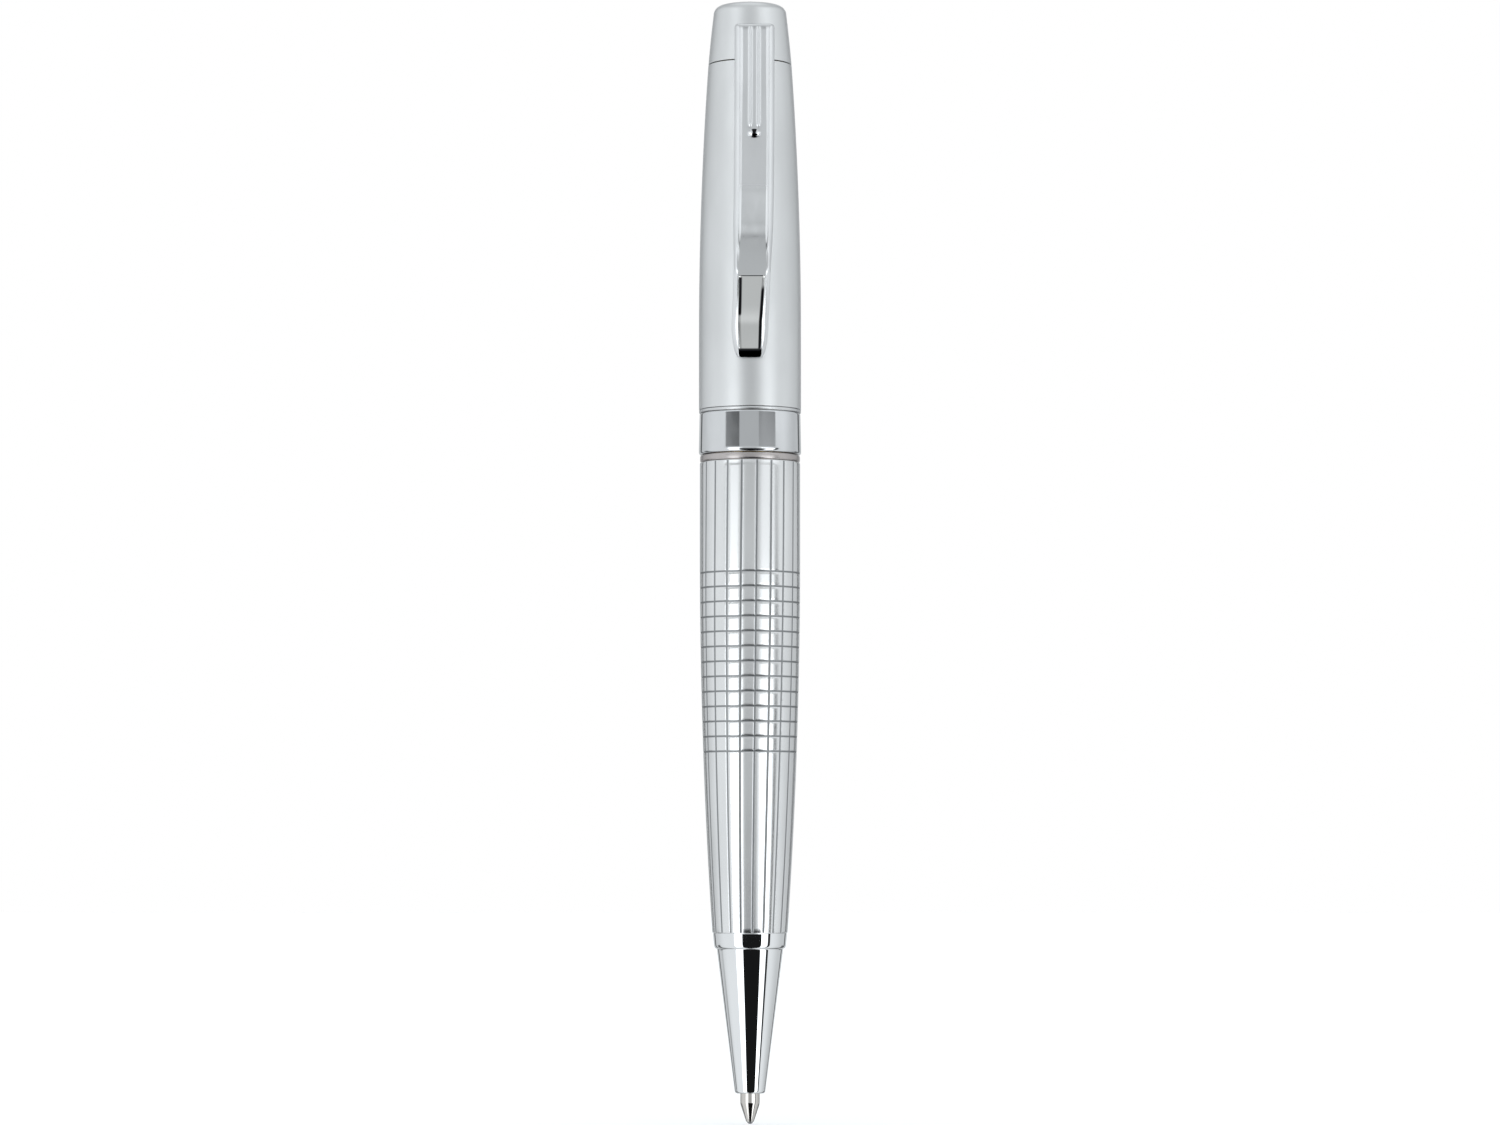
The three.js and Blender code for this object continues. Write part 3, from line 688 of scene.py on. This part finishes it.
def clip_lean(z):
    """How far the middle of the leaf sits towards +X: 0.58 mm times 1 - exp(-h / 10), h being the height
    above 98 mm, so it rises from the foot and levels out at the head."""
    return 0.58 * (1 - np.exp(-np.maximum(z - 98, 0) / 10))


def trough(distance, half_width):
    """A raised cosine: 1 in the middle of a cut and 0 from its edges on."""
    return 0.5 * (1 + np.cos(math.pi * np.clip(distance / half_width, -1, 1)))


def clip_grid():
    """Sections of the leaf. Rows run up the leaf; columns run across the front, round the right side, back
    across the underside and round the left side. Also returns three masks, from 0 to 1 at each point: a
    painted dark reflection on the walls of the scoop and across its foot, the `bright` floor of the scoop,
    and the `shine` of the polished middle."""
    z = np.unique(np.concatenate([
        CLIP_LOW + 0.5 * np.linspace(0, 1, 10) ** 2,
        np.linspace(CLIP_LOW + 0.5, SCOOP_TOP - 0.1, 56),
        np.linspace(SCOOP_TOP - 0.1, SCOOP_TOP, 5),
        np.linspace(SCOOP_TOP, 106, 12),
        np.linspace(106, 111, 18),
        np.linspace(111, 121, 12),
        np.linspace(121, 123, 12),
        np.linspace(123, 133, 14),
        np.linspace(133, CLIP_HIGH - 0.8, 10),
        CLIP_HIGH - 0.8 * np.linspace(1, 0, 20) ** 2,
    ]))[:, None]
    half = clip_half_width(z)
    in_scoop = eased(z, 106.5, SCOOP_TOP)
    scoop_edge = (1.62 + 0.1 * eased(z, 130, 120)) * (1 - in_scoop) + (1.42 + 0.027 * (z - 94.4)) * in_scoop
    scoop_edge = np.minimum(scoop_edge, half - 0.3)
    rim = np.clip(half - 0.35, scoop_edge + 0.06, 1.95)
    knots = [0 * z, 0.25 + 0 * z, 0.42 + 0 * z, RIDGE_AT + 0 * z, 0.58 + 0 * z, 0.75 + 0 * z,
             scoop_edge - WALL_WIDTH - 0.16, scoop_edge - WALL_WIDTH, scoop_edge, rim, half]
    steps = [2, 2, 2, 2, 2, 3, 4, 5, 6, 8]
    side = np.hstack([
        low + (high - low) * np.linspace(0, 1, count, endpoint=False)
        for low, high, count in zip(knots[:-1], knots[1:], steps)
    ] + [half])
    x = np.hstack([-side[:, :0:-1], side])

    inside = 1 - eased(np.abs(x), scoop_edge - WALL_WIDTH, scoop_edge)
    scoop = np.maximum(scoop_floor(z) - clip_front(z), 0) * eased(z, SCOOP_TOP, SCOOP_TOP - 0.05)
    below_head = eased(z, CLIP_HIGH - 0.25, CLIP_HIGH - 0.8)
    dish = FACE_DISH * eased(z, 106.5, 110) * below_head
    ridges = np.exp(-(((np.abs(x) - RIDGE_AT) / 0.15) ** 2))
    ridges = RIDGE_HEIGHT * ridges * eased(z, 121.8, 122.6) * below_head
    rims = RIM_HEIGHT * np.exp(-(((np.abs(x) - RIM_AT) / 0.13) ** 2)) * eased(z, 105, 108) * below_head
    bevel = BEVEL_DROP * np.clip((np.abs(x) - rim) / (half - rim), 0, 1) ** 2
    across_rail = np.clip((np.abs(x) - scoop_edge) / (half - scoop_edge), 0, 1)
    on_rail = eased(z, 104.6, SCOOP_TOP)
    bevel = bevel * (1 - on_rail) + (0.22 * across_rail + 0.2 * across_rail**2) * on_rail
    front = clip_front(z) + inside * (scoop + dish) - ridges - rims + bevel

    under = half * np.linspace(1, -1, 25)[None, 1:-1]
    flat = clip_front(np.minimum(z, CLIP_HIGH - 0.8)) + 0.72 + 0.5 * eased(z, 106, 100.5)
    barrel = np.where(z < CAP_LOW, upper_radius(z), cap_radius(z)) + 0.25
    saddle = -np.sqrt(barrel**2 - (under + clip_lean(z)) ** 2)
    saddled = eased(z, CAP_LOW + 0.4, CAP_LOW + 0.9)
    back = np.minimum(flat + 0 * under, saddle) * (1 - saddled) + saddle * saddled

    edge_front = front[:, -1:]
    down = np.linspace(0, 1, 8)[None, 1:-1]
    swell = 0.03 * np.sin(math.pi * down)
    right = np.stack([half + swell, edge_front + (back[:, :1] - edge_front) * down], -1)
    left = np.stack([-half - swell, edge_front + (back[:, -1:] - edge_front) * (1 - down)], -1)
    ring = np.concatenate([np.stack([x, front], -1), right, np.stack([under, back], -1), left], 1)

    # The walls of the scoop and a line across its foot get a near-black painted reflection, stronger along
    # some stretches of each wall than others.
    on_wall = np.minimum(2 * trough(np.abs(x) - scoop_edge + WALL_WIDTH, 0.26), 1)
    left_wall = 0.4 + 0.6 * eased(z, 98.6, 99.0)
    right_wall = 1 - 0.5 * eased(z, 101.5, 102.5)
    wall_here = np.where(x < 0, left_wall, right_wall) * (z < SCOOP_TOP - 0.1) * eased(z, 94.4, 94.7)
    at_foot = eased(z, *FOOT_PAINTED_DARK[::-1]) * (np.abs(x) < scoop_edge)
    painted_reflection = np.zeros(ring.shape[:2])
    painted_reflection[:, : x.shape[1]] = np.maximum(on_wall * wall_here, at_foot)
    bright = np.zeros(ring.shape[:2])
    bright[:, : x.shape[1]] = (scoop > 0.02) * inside
    shine = np.zeros(ring.shape[:2])
    shine[:, : x.shape[1]] = eased(np.abs(x), rim - 0.02, scoop_edge - 0.02) * eased(z, 115.5, 113)
    shine[:, : x.shape[1]] *= eased(z, CLIP_LOW, CLIP_LOW + 0.1)

    centre = back.shape[1] // 2
    middle = np.concatenate([0 * z, (clip_front(z) + back[:, centre : centre + 1]) / 2], 1)[:, None]
    toe = np.clip((CLIP_LOW + TOE - z) / TOE, 0, 1)[:, :, None]
    closed = np.sqrt(np.maximum(1 - toe**2, 0.01))
    shrink = np.concatenate([0.75 + 0.25 * closed, closed], -1)
    ring = middle + (ring - middle) * shrink
    points = np.stack([ring[..., 0] + clip_lean(z), ring[..., 1], z + 0 * ring[..., 0]], -1)
    return points, {"painted_reflection": painted_reflection, "bright": bright, "shine": shine}


# %% [markdown]
# The rails and the upper leaf are frosted like the barrel, and the middle of the leaf is polished from the
# bend down. One finish does all of it: the `shine` mask turns the gloss from frosted to polished, the
# `bright` mask tints the scoop's floor, and a second mask lays a painted reflection, near black, on the
# scoop's walls and across its foot.

# %% Clip finish
clip_finish = frosted_metal("clip_silver", (0.87, 0.88, 0.89), 0.05, 0.1, depth=0.0003, scale=260.0)
shine_share = mask_of(clip_finish, "shine", 0.05, 0.95)
rework(clip_finish, "Roughness", lambda tree, polished: between(tree, shine_share, FROSTED_GLOSS, polished))
# The second tint is a painted reflection, near black, on the scoop's walls and across its foot.
for label, color in (("bright", (0.88, 0.88, 0.865)), ("painted_reflection", (0.015, 0.015, 0.018))):
    tint_share = mask_of(clip_finish, label, 0.1, 0.9)
    rework(clip_finish, "Base Color", lambda tree, under: shade(tree, tint_share, under, color))

# %% Clip pieces
clip_points, clip_masks = clip_grid()
leaf_mesh = mesh_from_grid("clip_leaf", clip_points, False, **clip_masks)
place("clip_leaf", leaf_mesh, "pocket_clip", "clip", "clip_silver", clip_finish, sharp=50)

LUG_HALF_WIDTH = 0.75
lug_outline = [[-5.3, -1.7], [-5.3, 0.85], [-2.9, 0.85], [-2.5, 0.45], [-2.5, -1.3], [-2.9, -1.7]]


def plate(name, outline, half_width, middle_x, lift):
    """A side view outline of [y, z] corners, spread to both sides of middle_x with softly rounded corners."""
    line = rounded([[y, z + lift, 0.12] for y, z in outline], 4)
    x = half_width * np.array([-1, -1, 1, 1])[:, None]
    inset = np.array([0.95, 1, 1, 0.95])[:, None]
    x = x + np.array([0, 0.05, -0.05, 0])[:, None]
    centre = line.mean(0)
    y = centre[0] + (line[None, :, 0] - centre[0]) * inset
    z = centre[1] + (line[None, :, 1] - centre[1]) * inset
    return mesh_from_grid(name, np.stack([x + middle_x + 0 * y, y, z], -1), wrap_rows=False)


lug_mesh = carve(
    plate("clip_lug", lug_outline, LUG_HALF_WIDTH, HEAD_X, PIVOT_Z),
    cross_bar(PIVOT_RADIUS + 0.1, HEAD_X - 2, HEAD_X + 2, PIVOT_Y, PIVOT_Z),
)
place("clip_lug", lug_mesh, "pocket_clip", None, "clip_silver", clip_finish, sharp=30)

# %% [markdown]
# ## Chrome
# The nose cone and the bead on the clip are mirror chrome. A mirror is almost all reflection, so its finish
# only needs the faintest smudges and polishing lines.

# %% Chrome finish
CHROME = (0.90, 0.91, 0.92)
chrome = turned_metal("mirror_chrome", CHROME, 0.02, 0.06, depth=0.00006, darker=0.97, scale=220.0)

# %% [markdown]
# The bead has a painted reflection: a waisted dark stripe down its middle. A point is on it where its
# distance to the side of the bead's middle is less than the waist plus a share of its distance above or
# below that middle. A material
# measures in metres, so the lengths are multiples of MM.

# %% Bead finish
bead_finish = turned_metal("bead_chrome", CHROME, 0.02, 0.06, depth=0.00006, darker=0.97, scale=220.0)
bead_tree = bead_finish.node_tree
bead_place = bead_tree.nodes.new("ShaderNodeSeparateXYZ")
bead_tree.links.new(bead_tree.nodes.new("ShaderNodeTexCoord").outputs["Object"], bead_place.inputs[0])


def distance_from(tree, value, middle):
    """How far a value is from a middle, either way."""
    return math_node(tree, "ABSOLUTE", math_node(tree, "SUBTRACT", value, middle))


# The stripe is a painted reflection of the dark room, fixed on the bead.
STRIPE_X, STRIPE_Z = 0.52 * MM, 121.2 * MM
STRIPE_WAIST = 0.19 * MM
STRIPE_FLARE = 0.3
STRIPE_SOFT = 0.04 * MM
PAINTED_REFLECTION_COLOR = (0.02, 0.02, 0.022)
aside = distance_from(bead_tree, bead_place.outputs["X"], STRIPE_X)
above = distance_from(bead_tree, bead_place.outputs["Z"], STRIPE_Z)
flare = math_node(bead_tree, "MULTIPLY", above, STRIPE_FLARE)
stripe_edge = math_node(bead_tree, "ADD", STRIPE_WAIST, flare)
off_stripe = math_node(bead_tree, "SUBTRACT", aside, stripe_edge)
bead_share = smooth_step(bead_tree, off_stripe, -STRIPE_SOFT, STRIPE_SOFT)
rework(bead_finish, "Base Color", lambda tree, plain: shade(tree, bead_share, PAINTED_REFLECTION_COLOR, plain))

# %% Clip bead
STUD_LOW, STUD_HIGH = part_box("clip_stud")
BEAD_Z = (STUD_LOW.z + STUD_HIGH.z) / 2 / MM
BEAD_HALF_WIDTH = 0.85
BEAD_HALF_HEIGHT = 0.55
BEAD_RISE = 0.42


def bead_grid():
    """Half an ellipsoid: a = 0 to 90 degrees from its rim to its top, turned to lie on the sloping face."""
    a = np.concatenate([[-0.2], np.linspace(0, math.pi / 2, 16)])[:, None]
    b = np.linspace(0, 2 * math.pi, 64, endpoint=False)[None]
    across = BEAD_HALF_WIDTH * np.cos(np.maximum(a, 0)) * np.cos(b)
    up = BEAD_HALF_HEIGHT * np.cos(np.maximum(a, 0)) * np.sin(b)
    out = BEAD_RISE * np.sin(a) + 0 * b
    slope = math.atan(LEAF_SLOPE)
    y = clip_front(BEAD_Z) - out * math.cos(slope) + up * math.sin(slope)
    z = BEAD_Z + up * math.cos(slope) + out * math.sin(slope)
    return np.stack([across + clip_lean(BEAD_Z), y, z], -1)


place("clip_bead", mesh_from_grid("clip_bead", bead_grid(), wrap_rows=False), "pocket_clip", "clip_stud",
      "bright_chrome", bead_finish)

# %% [markdown]
# ## Centre joint
# Three rings meet between the halves. A rolled satin lip stands under the upper barrel, then comes the wide
# polished band that the fingers turn, and a narrow nickel silver collar that stays with the lower half. Each
# is a closed outline whose edges are rounded, because a rounded edge is what catches the light.

# %% Band finish
band_chrome = turned_metal("band_chrome", (0.80, 0.81, 0.825), 0.05, 0.12, depth=0.0001, scale=300.0)
nickel = turned_metal("nickel_silver", (0.70, 0.67, 0.64), 0.05, 0.11, depth=0.0002)
collar_nickel = turned_metal("collar_nickel", (0.60, 0.56, 0.55), 0.22, 0.3, depth=0.0003)
lip_silver = turned_metal("lip_silver", (0.84, 0.85, 0.86), 0.36, 0.42, depth=0.0002, scale=300.0)

# %% Rings of the centre joint
LIP_LOST_BELOW = 0.25  # and this much shorter at its bottom, where the band reaches up instead
BAND_LOW, BAND_HIGH = heights("centre_band")
BAND_HIGH += LIP_LOST_BELOW
LIP_LOW, LIP_HIGH = heights("trim_ring")
LIP_LOW += LIP_LOST_BELOW
LIP_HIGH -= LIP_LOST_ABOVE
COLLAR_LOW, COLLAR_HIGH = heights("joint_collar")
BAND_BORE = 5.72
BAND_TOP_RADIUS = 6.225
COLLAR_RADIUS = 6.16
COLLAR_BORE = 4.55

band_outline = [
    [BAND_BORE, BAND_LOW, 0.1],
    [6.08, BAND_LOW, 0],
    *[[r, z, 0] for r, z, _ in quarter((WIDEST, BAND_LOW + 0.4), (6.08, BAND_LOW), 10)[::-1][1:]],
    [WIDEST, BAND_LOW + 0.55, 0.1],
    [BAND_TOP_RADIUS, BAND_HIGH - 0.12, 0.1],
    [6.13, BAND_HIGH, 0.03],
    [BAND_BORE, BAND_HIGH, 0.1],
]
place("centre_band_ring", turned("centre_band_ring", band_outline), "upper_half", "centre_band",
      "band_chrome", band_chrome)

lip_outline = [
    [BAND_BORE, LIP_LOW, 0.05],
    [6.22, LIP_LOW, 0.02],
    [WIDEST - 0.03, LIP_LOW + 0.08, 0.06],
    [WIDEST - 0.01, LIP_HIGH - 0.1, 0.08],
    [6.22, LIP_HIGH, 0.03],
    [BAND_BORE, LIP_HIGH, 0.05],
]
place("trim_ring_lip", turned("trim_ring_lip", lip_outline), "upper_half", "trim_ring", "bright_chrome",
      lip_silver)

collar_outline = [
    [COLLAR_BORE, COLLAR_LOW, 0.05],
    [6.06, COLLAR_LOW, 0],
    [COLLAR_RADIUS, COLLAR_LOW + 0.12, 0.08],
    [COLLAR_RADIUS, COLLAR_HIGH - 0.12, 0.08],
    [6.06, COLLAR_HIGH, 0],
    [COLLAR_BORE, COLLAR_HIGH, 0.05],
]
place("joint_collar_ring", turned("joint_collar_ring", collar_outline), "lower_half", "joint_collar",
      "nickel_silver", collar_nickel)

# %% [markdown]
# ## Engraved lower barrel
# Twenty-one fine lines run down the polished barrel, and thirteen rings cross them where the fingers hold
# it. They could be a bump, but real cuts catch the light at their own angles, so they are cut into the
# surface itself. The grid has nine columns across each line and nine rows across each ring, and only a few
# between them. The depth at a point is the deeper of its line and its ring, each a raised cosine. The same
# value is kept on the mesh as the attribute `cut`, so the finish knows where the metal is engraved.

# %% Engraved barrel
GRIP_LOW, GRIP_HIGH = heights("lower_barrel")
GRIP_RADIUS = 6.19
LINES = 21
LINE_HALF_WIDTH = 0.19
LINE_LEAN = math.radians(0.08)  # round the axis, for each millimetre down from the joint
LINE_TURN = math.radians(0.5)  # of all the lines together, the same way
RING_TOP = 67.46
RING_STEP = 1.832
RINGS = 13
RING_HALF_WIDTH = 0.165
CUT_DEPTH = 0.045
# The cuts' darker colour is painted shade in the recesses; their duller gloss is the metal's own.
CUT_PAINTED_SHADE = (0.34, 0.35, 0.36)
CUT_GLOSS = 0.45


def lower_radius(z):
    """Side of the lower barrel: 6.19 mm, less 0.000726 times the square of the depth below 70 mm."""
    return GRIP_RADIUS - 7.26e-4 * np.maximum(0, 70 - z) ** 2


def engraved_grid():
    """The outside with its cuts, then the rounded top edge, the bore and the bottom edge, as one closed
    sheet. Returns the points and how deep each is cut, from 0 to 1."""
    rings = RING_TOP - RING_STEP * np.arange(RINGS)
    across_ring = (rings[:, None] + RING_HALF_WIDTH * np.linspace(-1, 1, 9)).ravel()
    between_rings = (rings[:-1, None] - RING_STEP * np.array([0.25, 0.5, 0.75])).ravel()
    plain = np.concatenate([np.linspace(GRIP_LOW + 0.06, rings[-1] - 0.3, 40),
                            np.linspace(rings[0] + 0.3, GRIP_HIGH - 0.16, 22)])
    z = np.unique(np.round(np.concatenate([across_ring, between_rings, plain]), 5))[:, None]
    radius = lower_radius(z)

    pitch = 2 * math.pi / LINES
    half = LINE_HALF_WIDTH / radius
    in_line = half * np.linspace(-1, 1, 9)[None]
    on_land = half + (pitch - 2 * half) * np.array([[0.25, 0.5, 0.75]])
    offset = np.tile(np.hstack([in_line, on_land]), (1, LINES))
    lean = -LINE_LEAN * (GRIP_HIGH - z) - LINE_TURN
    columns_each = in_line.shape[1] + on_land.shape[1]
    line_at = -math.pi / 2 + lean + pitch * (0.5 + np.repeat(np.arange(LINES), columns_each))[None]
    angle = line_at + offset

    line_cut = trough(offset * radius, LINE_HALF_WIDTH)
    ring_cut = trough(z - rings[None], RING_HALF_WIDTH).max(1, keepdims=True)
    cut = np.maximum(line_cut, ring_cut)
    r = radius - CUT_DEPTH * cut

    top, bottom = GRIP_HIGH, GRIP_LOW
    bottom_radius = float(lower_radius(bottom))
    bore = np.linspace(70, 24, 8)[:, None]
    closing_r = np.array([[GRIP_RADIUS - 0.03], [GRIP_RADIUS - 0.12], [GRIP_RADIUS - WALL],
                          *(lower_radius(bore) - WALL),
                          [bottom_radius - WALL], [bottom_radius - 0.03], [bottom_radius - 0.006]])
    closing_z = np.array([[top - 0.07], [top], [top], *bore, [bottom], [bottom], [bottom + 0.01]])
    last, first = angle[-1:], angle[:1]
    share = (closing_z - bottom) / (top - bottom)
    closing_angle = first + (last - first) * share
    angle = np.vstack([angle, closing_angle])
    r = np.vstack([r, closing_r + 0 * closing_angle])
    z = np.vstack([z + 0 * r[: len(z)], closing_z + 0 * closing_angle])
    cut = np.vstack([cut, 0 * closing_angle])
    return np.stack([r * np.cos(angle), r * np.sin(angle), z], -1), cut


barrel_points, barrel_cut = engraved_grid()
engraved = turned_metal("engraved_silver", (0.90, 0.905, 0.91), 0.16, 0.24, depth=0.0002, scale=150.0)
place("engraved_barrel", mesh_from_grid("engraved_barrel", barrel_points, True, cut=barrel_cut), "lower_half",
      "lower_barrel", "engraved_chrome", engraved, sharp=60)

# %% [markdown]
# Inside the cuts the metal is left dull, and a little dark as painted shade in the recesses, so the finish
# mixes in a second gloss and a second colour where the `cut` attribute says so.

# %% Engraved finish
cut_share = mask_of(engraved, "cut", 0.05, 0.5)
rework(engraved, "Base Color", lambda tree, land: shade(tree, cut_share, land, CUT_PAINTED_SHADE))
rework(engraved, "Roughness", lambda tree, land: between(tree, cut_share, land, CUT_GLOSS))

# %% [markdown]
# ## Nose cone
# The nose is one turned piece: a short straight collar against the barrel, a rounded shoulder, a sharp
# crease, and a long slim cone down to the hole that the refill comes out of.

# %% Nose cone
NOSE_LOW, NOSE_BACK = heights("nose_cone")
NOSE_COLLAR = 4.422
NOSE_SEAM = GRIP_LOW - 0.04

nose_outline = [
    [1.36, NOSE_LOW, 0.05],
    [1.6, NOSE_LOW, 0],
    *quarter((1.88, NOSE_LOW + 0.35), (1.6, NOSE_LOW), 8)[::-1][1:],
    [1.906, NOSE_LOW + 0.55, 0],
    [4.03, 21.12, 0],
    [4.06, 21.35, 0.06],
    [4.12, 21.42, 0.04],
    [4.2, 21.45, 0],
    *quarter((NOSE_COLLAR, 22.1), (4.2, 21.45), 10)[:1:-1][1:],
    [4.449, 22.3, 0],
    [4.531, NOSE_SEAM - 0.1, 0],
    [4.54, NOSE_SEAM, 0.05],
    [3.75, NOSE_SEAM, 0],
    [3.75, NOSE_BACK, 0.1],
    [3.2, NOSE_BACK, 0.1],
    [3.2, 18.6, 0],
    [2.3, 18.2, 0],
    [2.3, 11.0, 0],
    [1.85, 11.0, 0],
    [1.85, 7.4, 0],
    [1.36, 7.4, 0],
]
place("nose_cone_shell", turned("nose_cone_shell", nose_outline), "lower_half", "nose_cone",
      "bright_chrome", chrome, sharp=34)

# %% [markdown]
# ## Refill tip and ball
# All that shows of the refill is its nickel silver tip. The cone's edge is rolled in round a tungsten
# carbide ball that stands a hair's breadth below it.

# %% Tip and ball
TIP_LOW, TIP_BACK = heights("refill_tip")
TIP_FRONT = 7.86
TIP_RADIUS = 1.19
BALL_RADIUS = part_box("writing_ball")[1].x / MM
tip_outline = [
    [0.4, TIP_LOW + 0.01, 0.01],
    [0.47, TIP_LOW + 0.03, 0.03],
    [0.62, 0.75, 0],
    [TIP_RADIUS, 2.45, 0.25],
    [TIP_RADIUS, TIP_FRONT, 0.1],
    [0.85, TIP_FRONT, 0],
    [0.85, TIP_BACK, 0.1],
    [0.26, TIP_BACK, 0.05],
    [0.26, 0.95, 0],
    [0.42, 0.86, 0],
    [0.42, 0.38, 0],
]
place("refill_tip_point", turned("refill_tip_point", tip_outline, 96), "refill", "refill_tip",
      "nickel_silver", nickel)

carbide = frosted_metal("carbide", (0.42, 0.43, 0.44), 0.08, 0.16, grains=60000.0, depth=0.0001, scale=900.0)
polar = np.linspace(-math.pi / 2, math.pi / 2, 25)
ball_outline = np.stack([BALL_RADIUS * np.cos(polar), BALL_RADIUS * (1 + np.sin(polar)), 0 * polar], -1)
ball_outline[[0, -1], 0] = 0
place("ball", turned("ball", ball_outline.tolist(), 48), "ball", "writing_ball", "carbide", carbide)

# %% [markdown]
# ## Inside the pen
# The imported pieces of the mechanism keep their own shapes, and each gets the finish of its stuff: turned
# brass bushes, drawn steel, moulded cam parts, a rubber ring and ink. Only the springs are drawn again, as
# fine round wire. The return spring reaches from the nose to the refill's shoulder.

# %% Finishes of the mechanism
brass = turned_metal("turned_brass", (0.80, 0.62, 0.30), 0.24, 0.36, darker=0.8, scale=140.0)
spring_steel = turned_metal("spring_steel", (0.58, 0.59, 0.60), 0.2, 0.34, marks=14000.0, darker=0.85)
refill_steel = turned_metal("refill_steel", (0.70, 0.71, 0.72), 0.2, 0.3, marks=5000.0)
cam_plastic = moulded("cam_acetal", (0.86, 0.85, 0.80), 0.4, 0.55)
plug_plastic = moulded("plug_plastic", (0.08, 0.08, 0.09), 0.4, 0.55, darker=0.7)
rubber = moulded("ring_rubber", (0.05, 0.05, 0.05), 0.6, 0.8, grains=5000.0, depth=0.004, darker=0.6)
ink = moulded("ink_paste", (0.03, 0.05, 0.30), 0.12, 0.25, grains=3000.0, depth=0.002, darker=0.7)

STUFF = {
    brass: ["top_bush", "band_bush", "rear_bush", "front_bush", "cam_holder", "mechanism_casing",
            "refill_neck"],
    spring_steel: ["cap_screw", "clip_pivot_pin", "retaining_ring", "follower_pin"],
    refill_steel: ["refill_tube"],
    cam_plastic: ["cam_sleeve", "drive_plug", "follower"],
    plug_plastic: ["refill_end_plug"],
    rubber: ["friction_ring"],
    ink: ["ink_column"],
}
for finish, names in STUFF.items():
    for name in names:
        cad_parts[name].material_slots[0].material = finish
print(sum(len(names) for names in STUFF.values()), "pieces of the mechanism finished")

# %% Return spring
SPRING_RADIUS = 1.95
SPRING_WIRE = 0.17
SPRING_TURNS = 8
SPRING_LOW, SPRING_HIGH = 11.2, 17.55


def return_spring_path():
    """A helix whose end turns are closed up: z rises by t - 0.09 sin 2 pi t of its height at the share t."""
    t = np.linspace(0, 1, 385)
    a = 2 * math.pi * SPRING_TURNS * t
    z = SPRING_LOW + (SPRING_HIGH - SPRING_LOW) * (t - 0.09 * np.sin(2 * math.pi * t))
    return np.stack([SPRING_RADIUS * np.cos(a), SPRING_RADIUS * np.sin(a), z], -1)


def place_blended(name, mesh, node, finish):
    """Shows a mesh, smooth shaded, in place of a CAD node; it rides on no body."""
    mesh.shade_smooth()
    piece = bpy.data.objects.new(name, mesh)
    scene.collection.objects.link(piece)
    mesh.materials.append(finish)
    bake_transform(piece)
    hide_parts(node)
    print(f"{name}: {len(mesh.polygons)} faces, from lower_half to refill")


spring_mesh = wire_along("return_spring_wire", return_spring_path(), SPRING_WIRE, (0, 0, 1))
place_blended("return_spring_wire", spring_mesh, "return_spring", spring_steel)

# %% Clip spring
TORSION_RADIUS = 0.85
TORSION_WIRE = 0.14
TORSION_TURNS = 2.25
TORSION_WIDTH = 0.75


def clip_spring_path():
    """Two and a quarter turns round the pivot pin, from the lug towards -X, with a straight leg at each
    end: at the share t, x = first - width t, and the angle round the pin is 2 pi turns t."""
    t = np.linspace(0, 1, 120)
    a = 2 * math.pi * TORSION_TURNS * t
    first = HEAD_X - LUG_HALF_WIDTH - 0.2
    x = first - TORSION_WIDTH * t
    coil = np.stack([x, PIVOT_Y + TORSION_RADIUS * np.cos(a), PIVOT_Z + TORSION_RADIUS * np.sin(a)], -1)
    leg = np.linspace(1, 0, 12, endpoint=False)[:, None]
    back_leg = coil[0] + leg * [0, 0, -1.7]
    front_leg = coil[-1] + leg[::-1] * [0, -1.05, 0]
    return np.vstack([back_leg, coil, front_leg])


place("clip_spring_wire", wire_along("clip_spring_wire", clip_spring_path(), TORSION_WIRE, (1, 0, 0)),
      "upper_half", "clip_spring", "spring_steel", spring_steel, sharp=60)

# %% Size
low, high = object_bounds()
print("packed box", [round(v / MM, 2) for v in (*cad_low, *cad_high)])
print("shown box ", [round(v / MM, 2) for v in (*low, *high)])
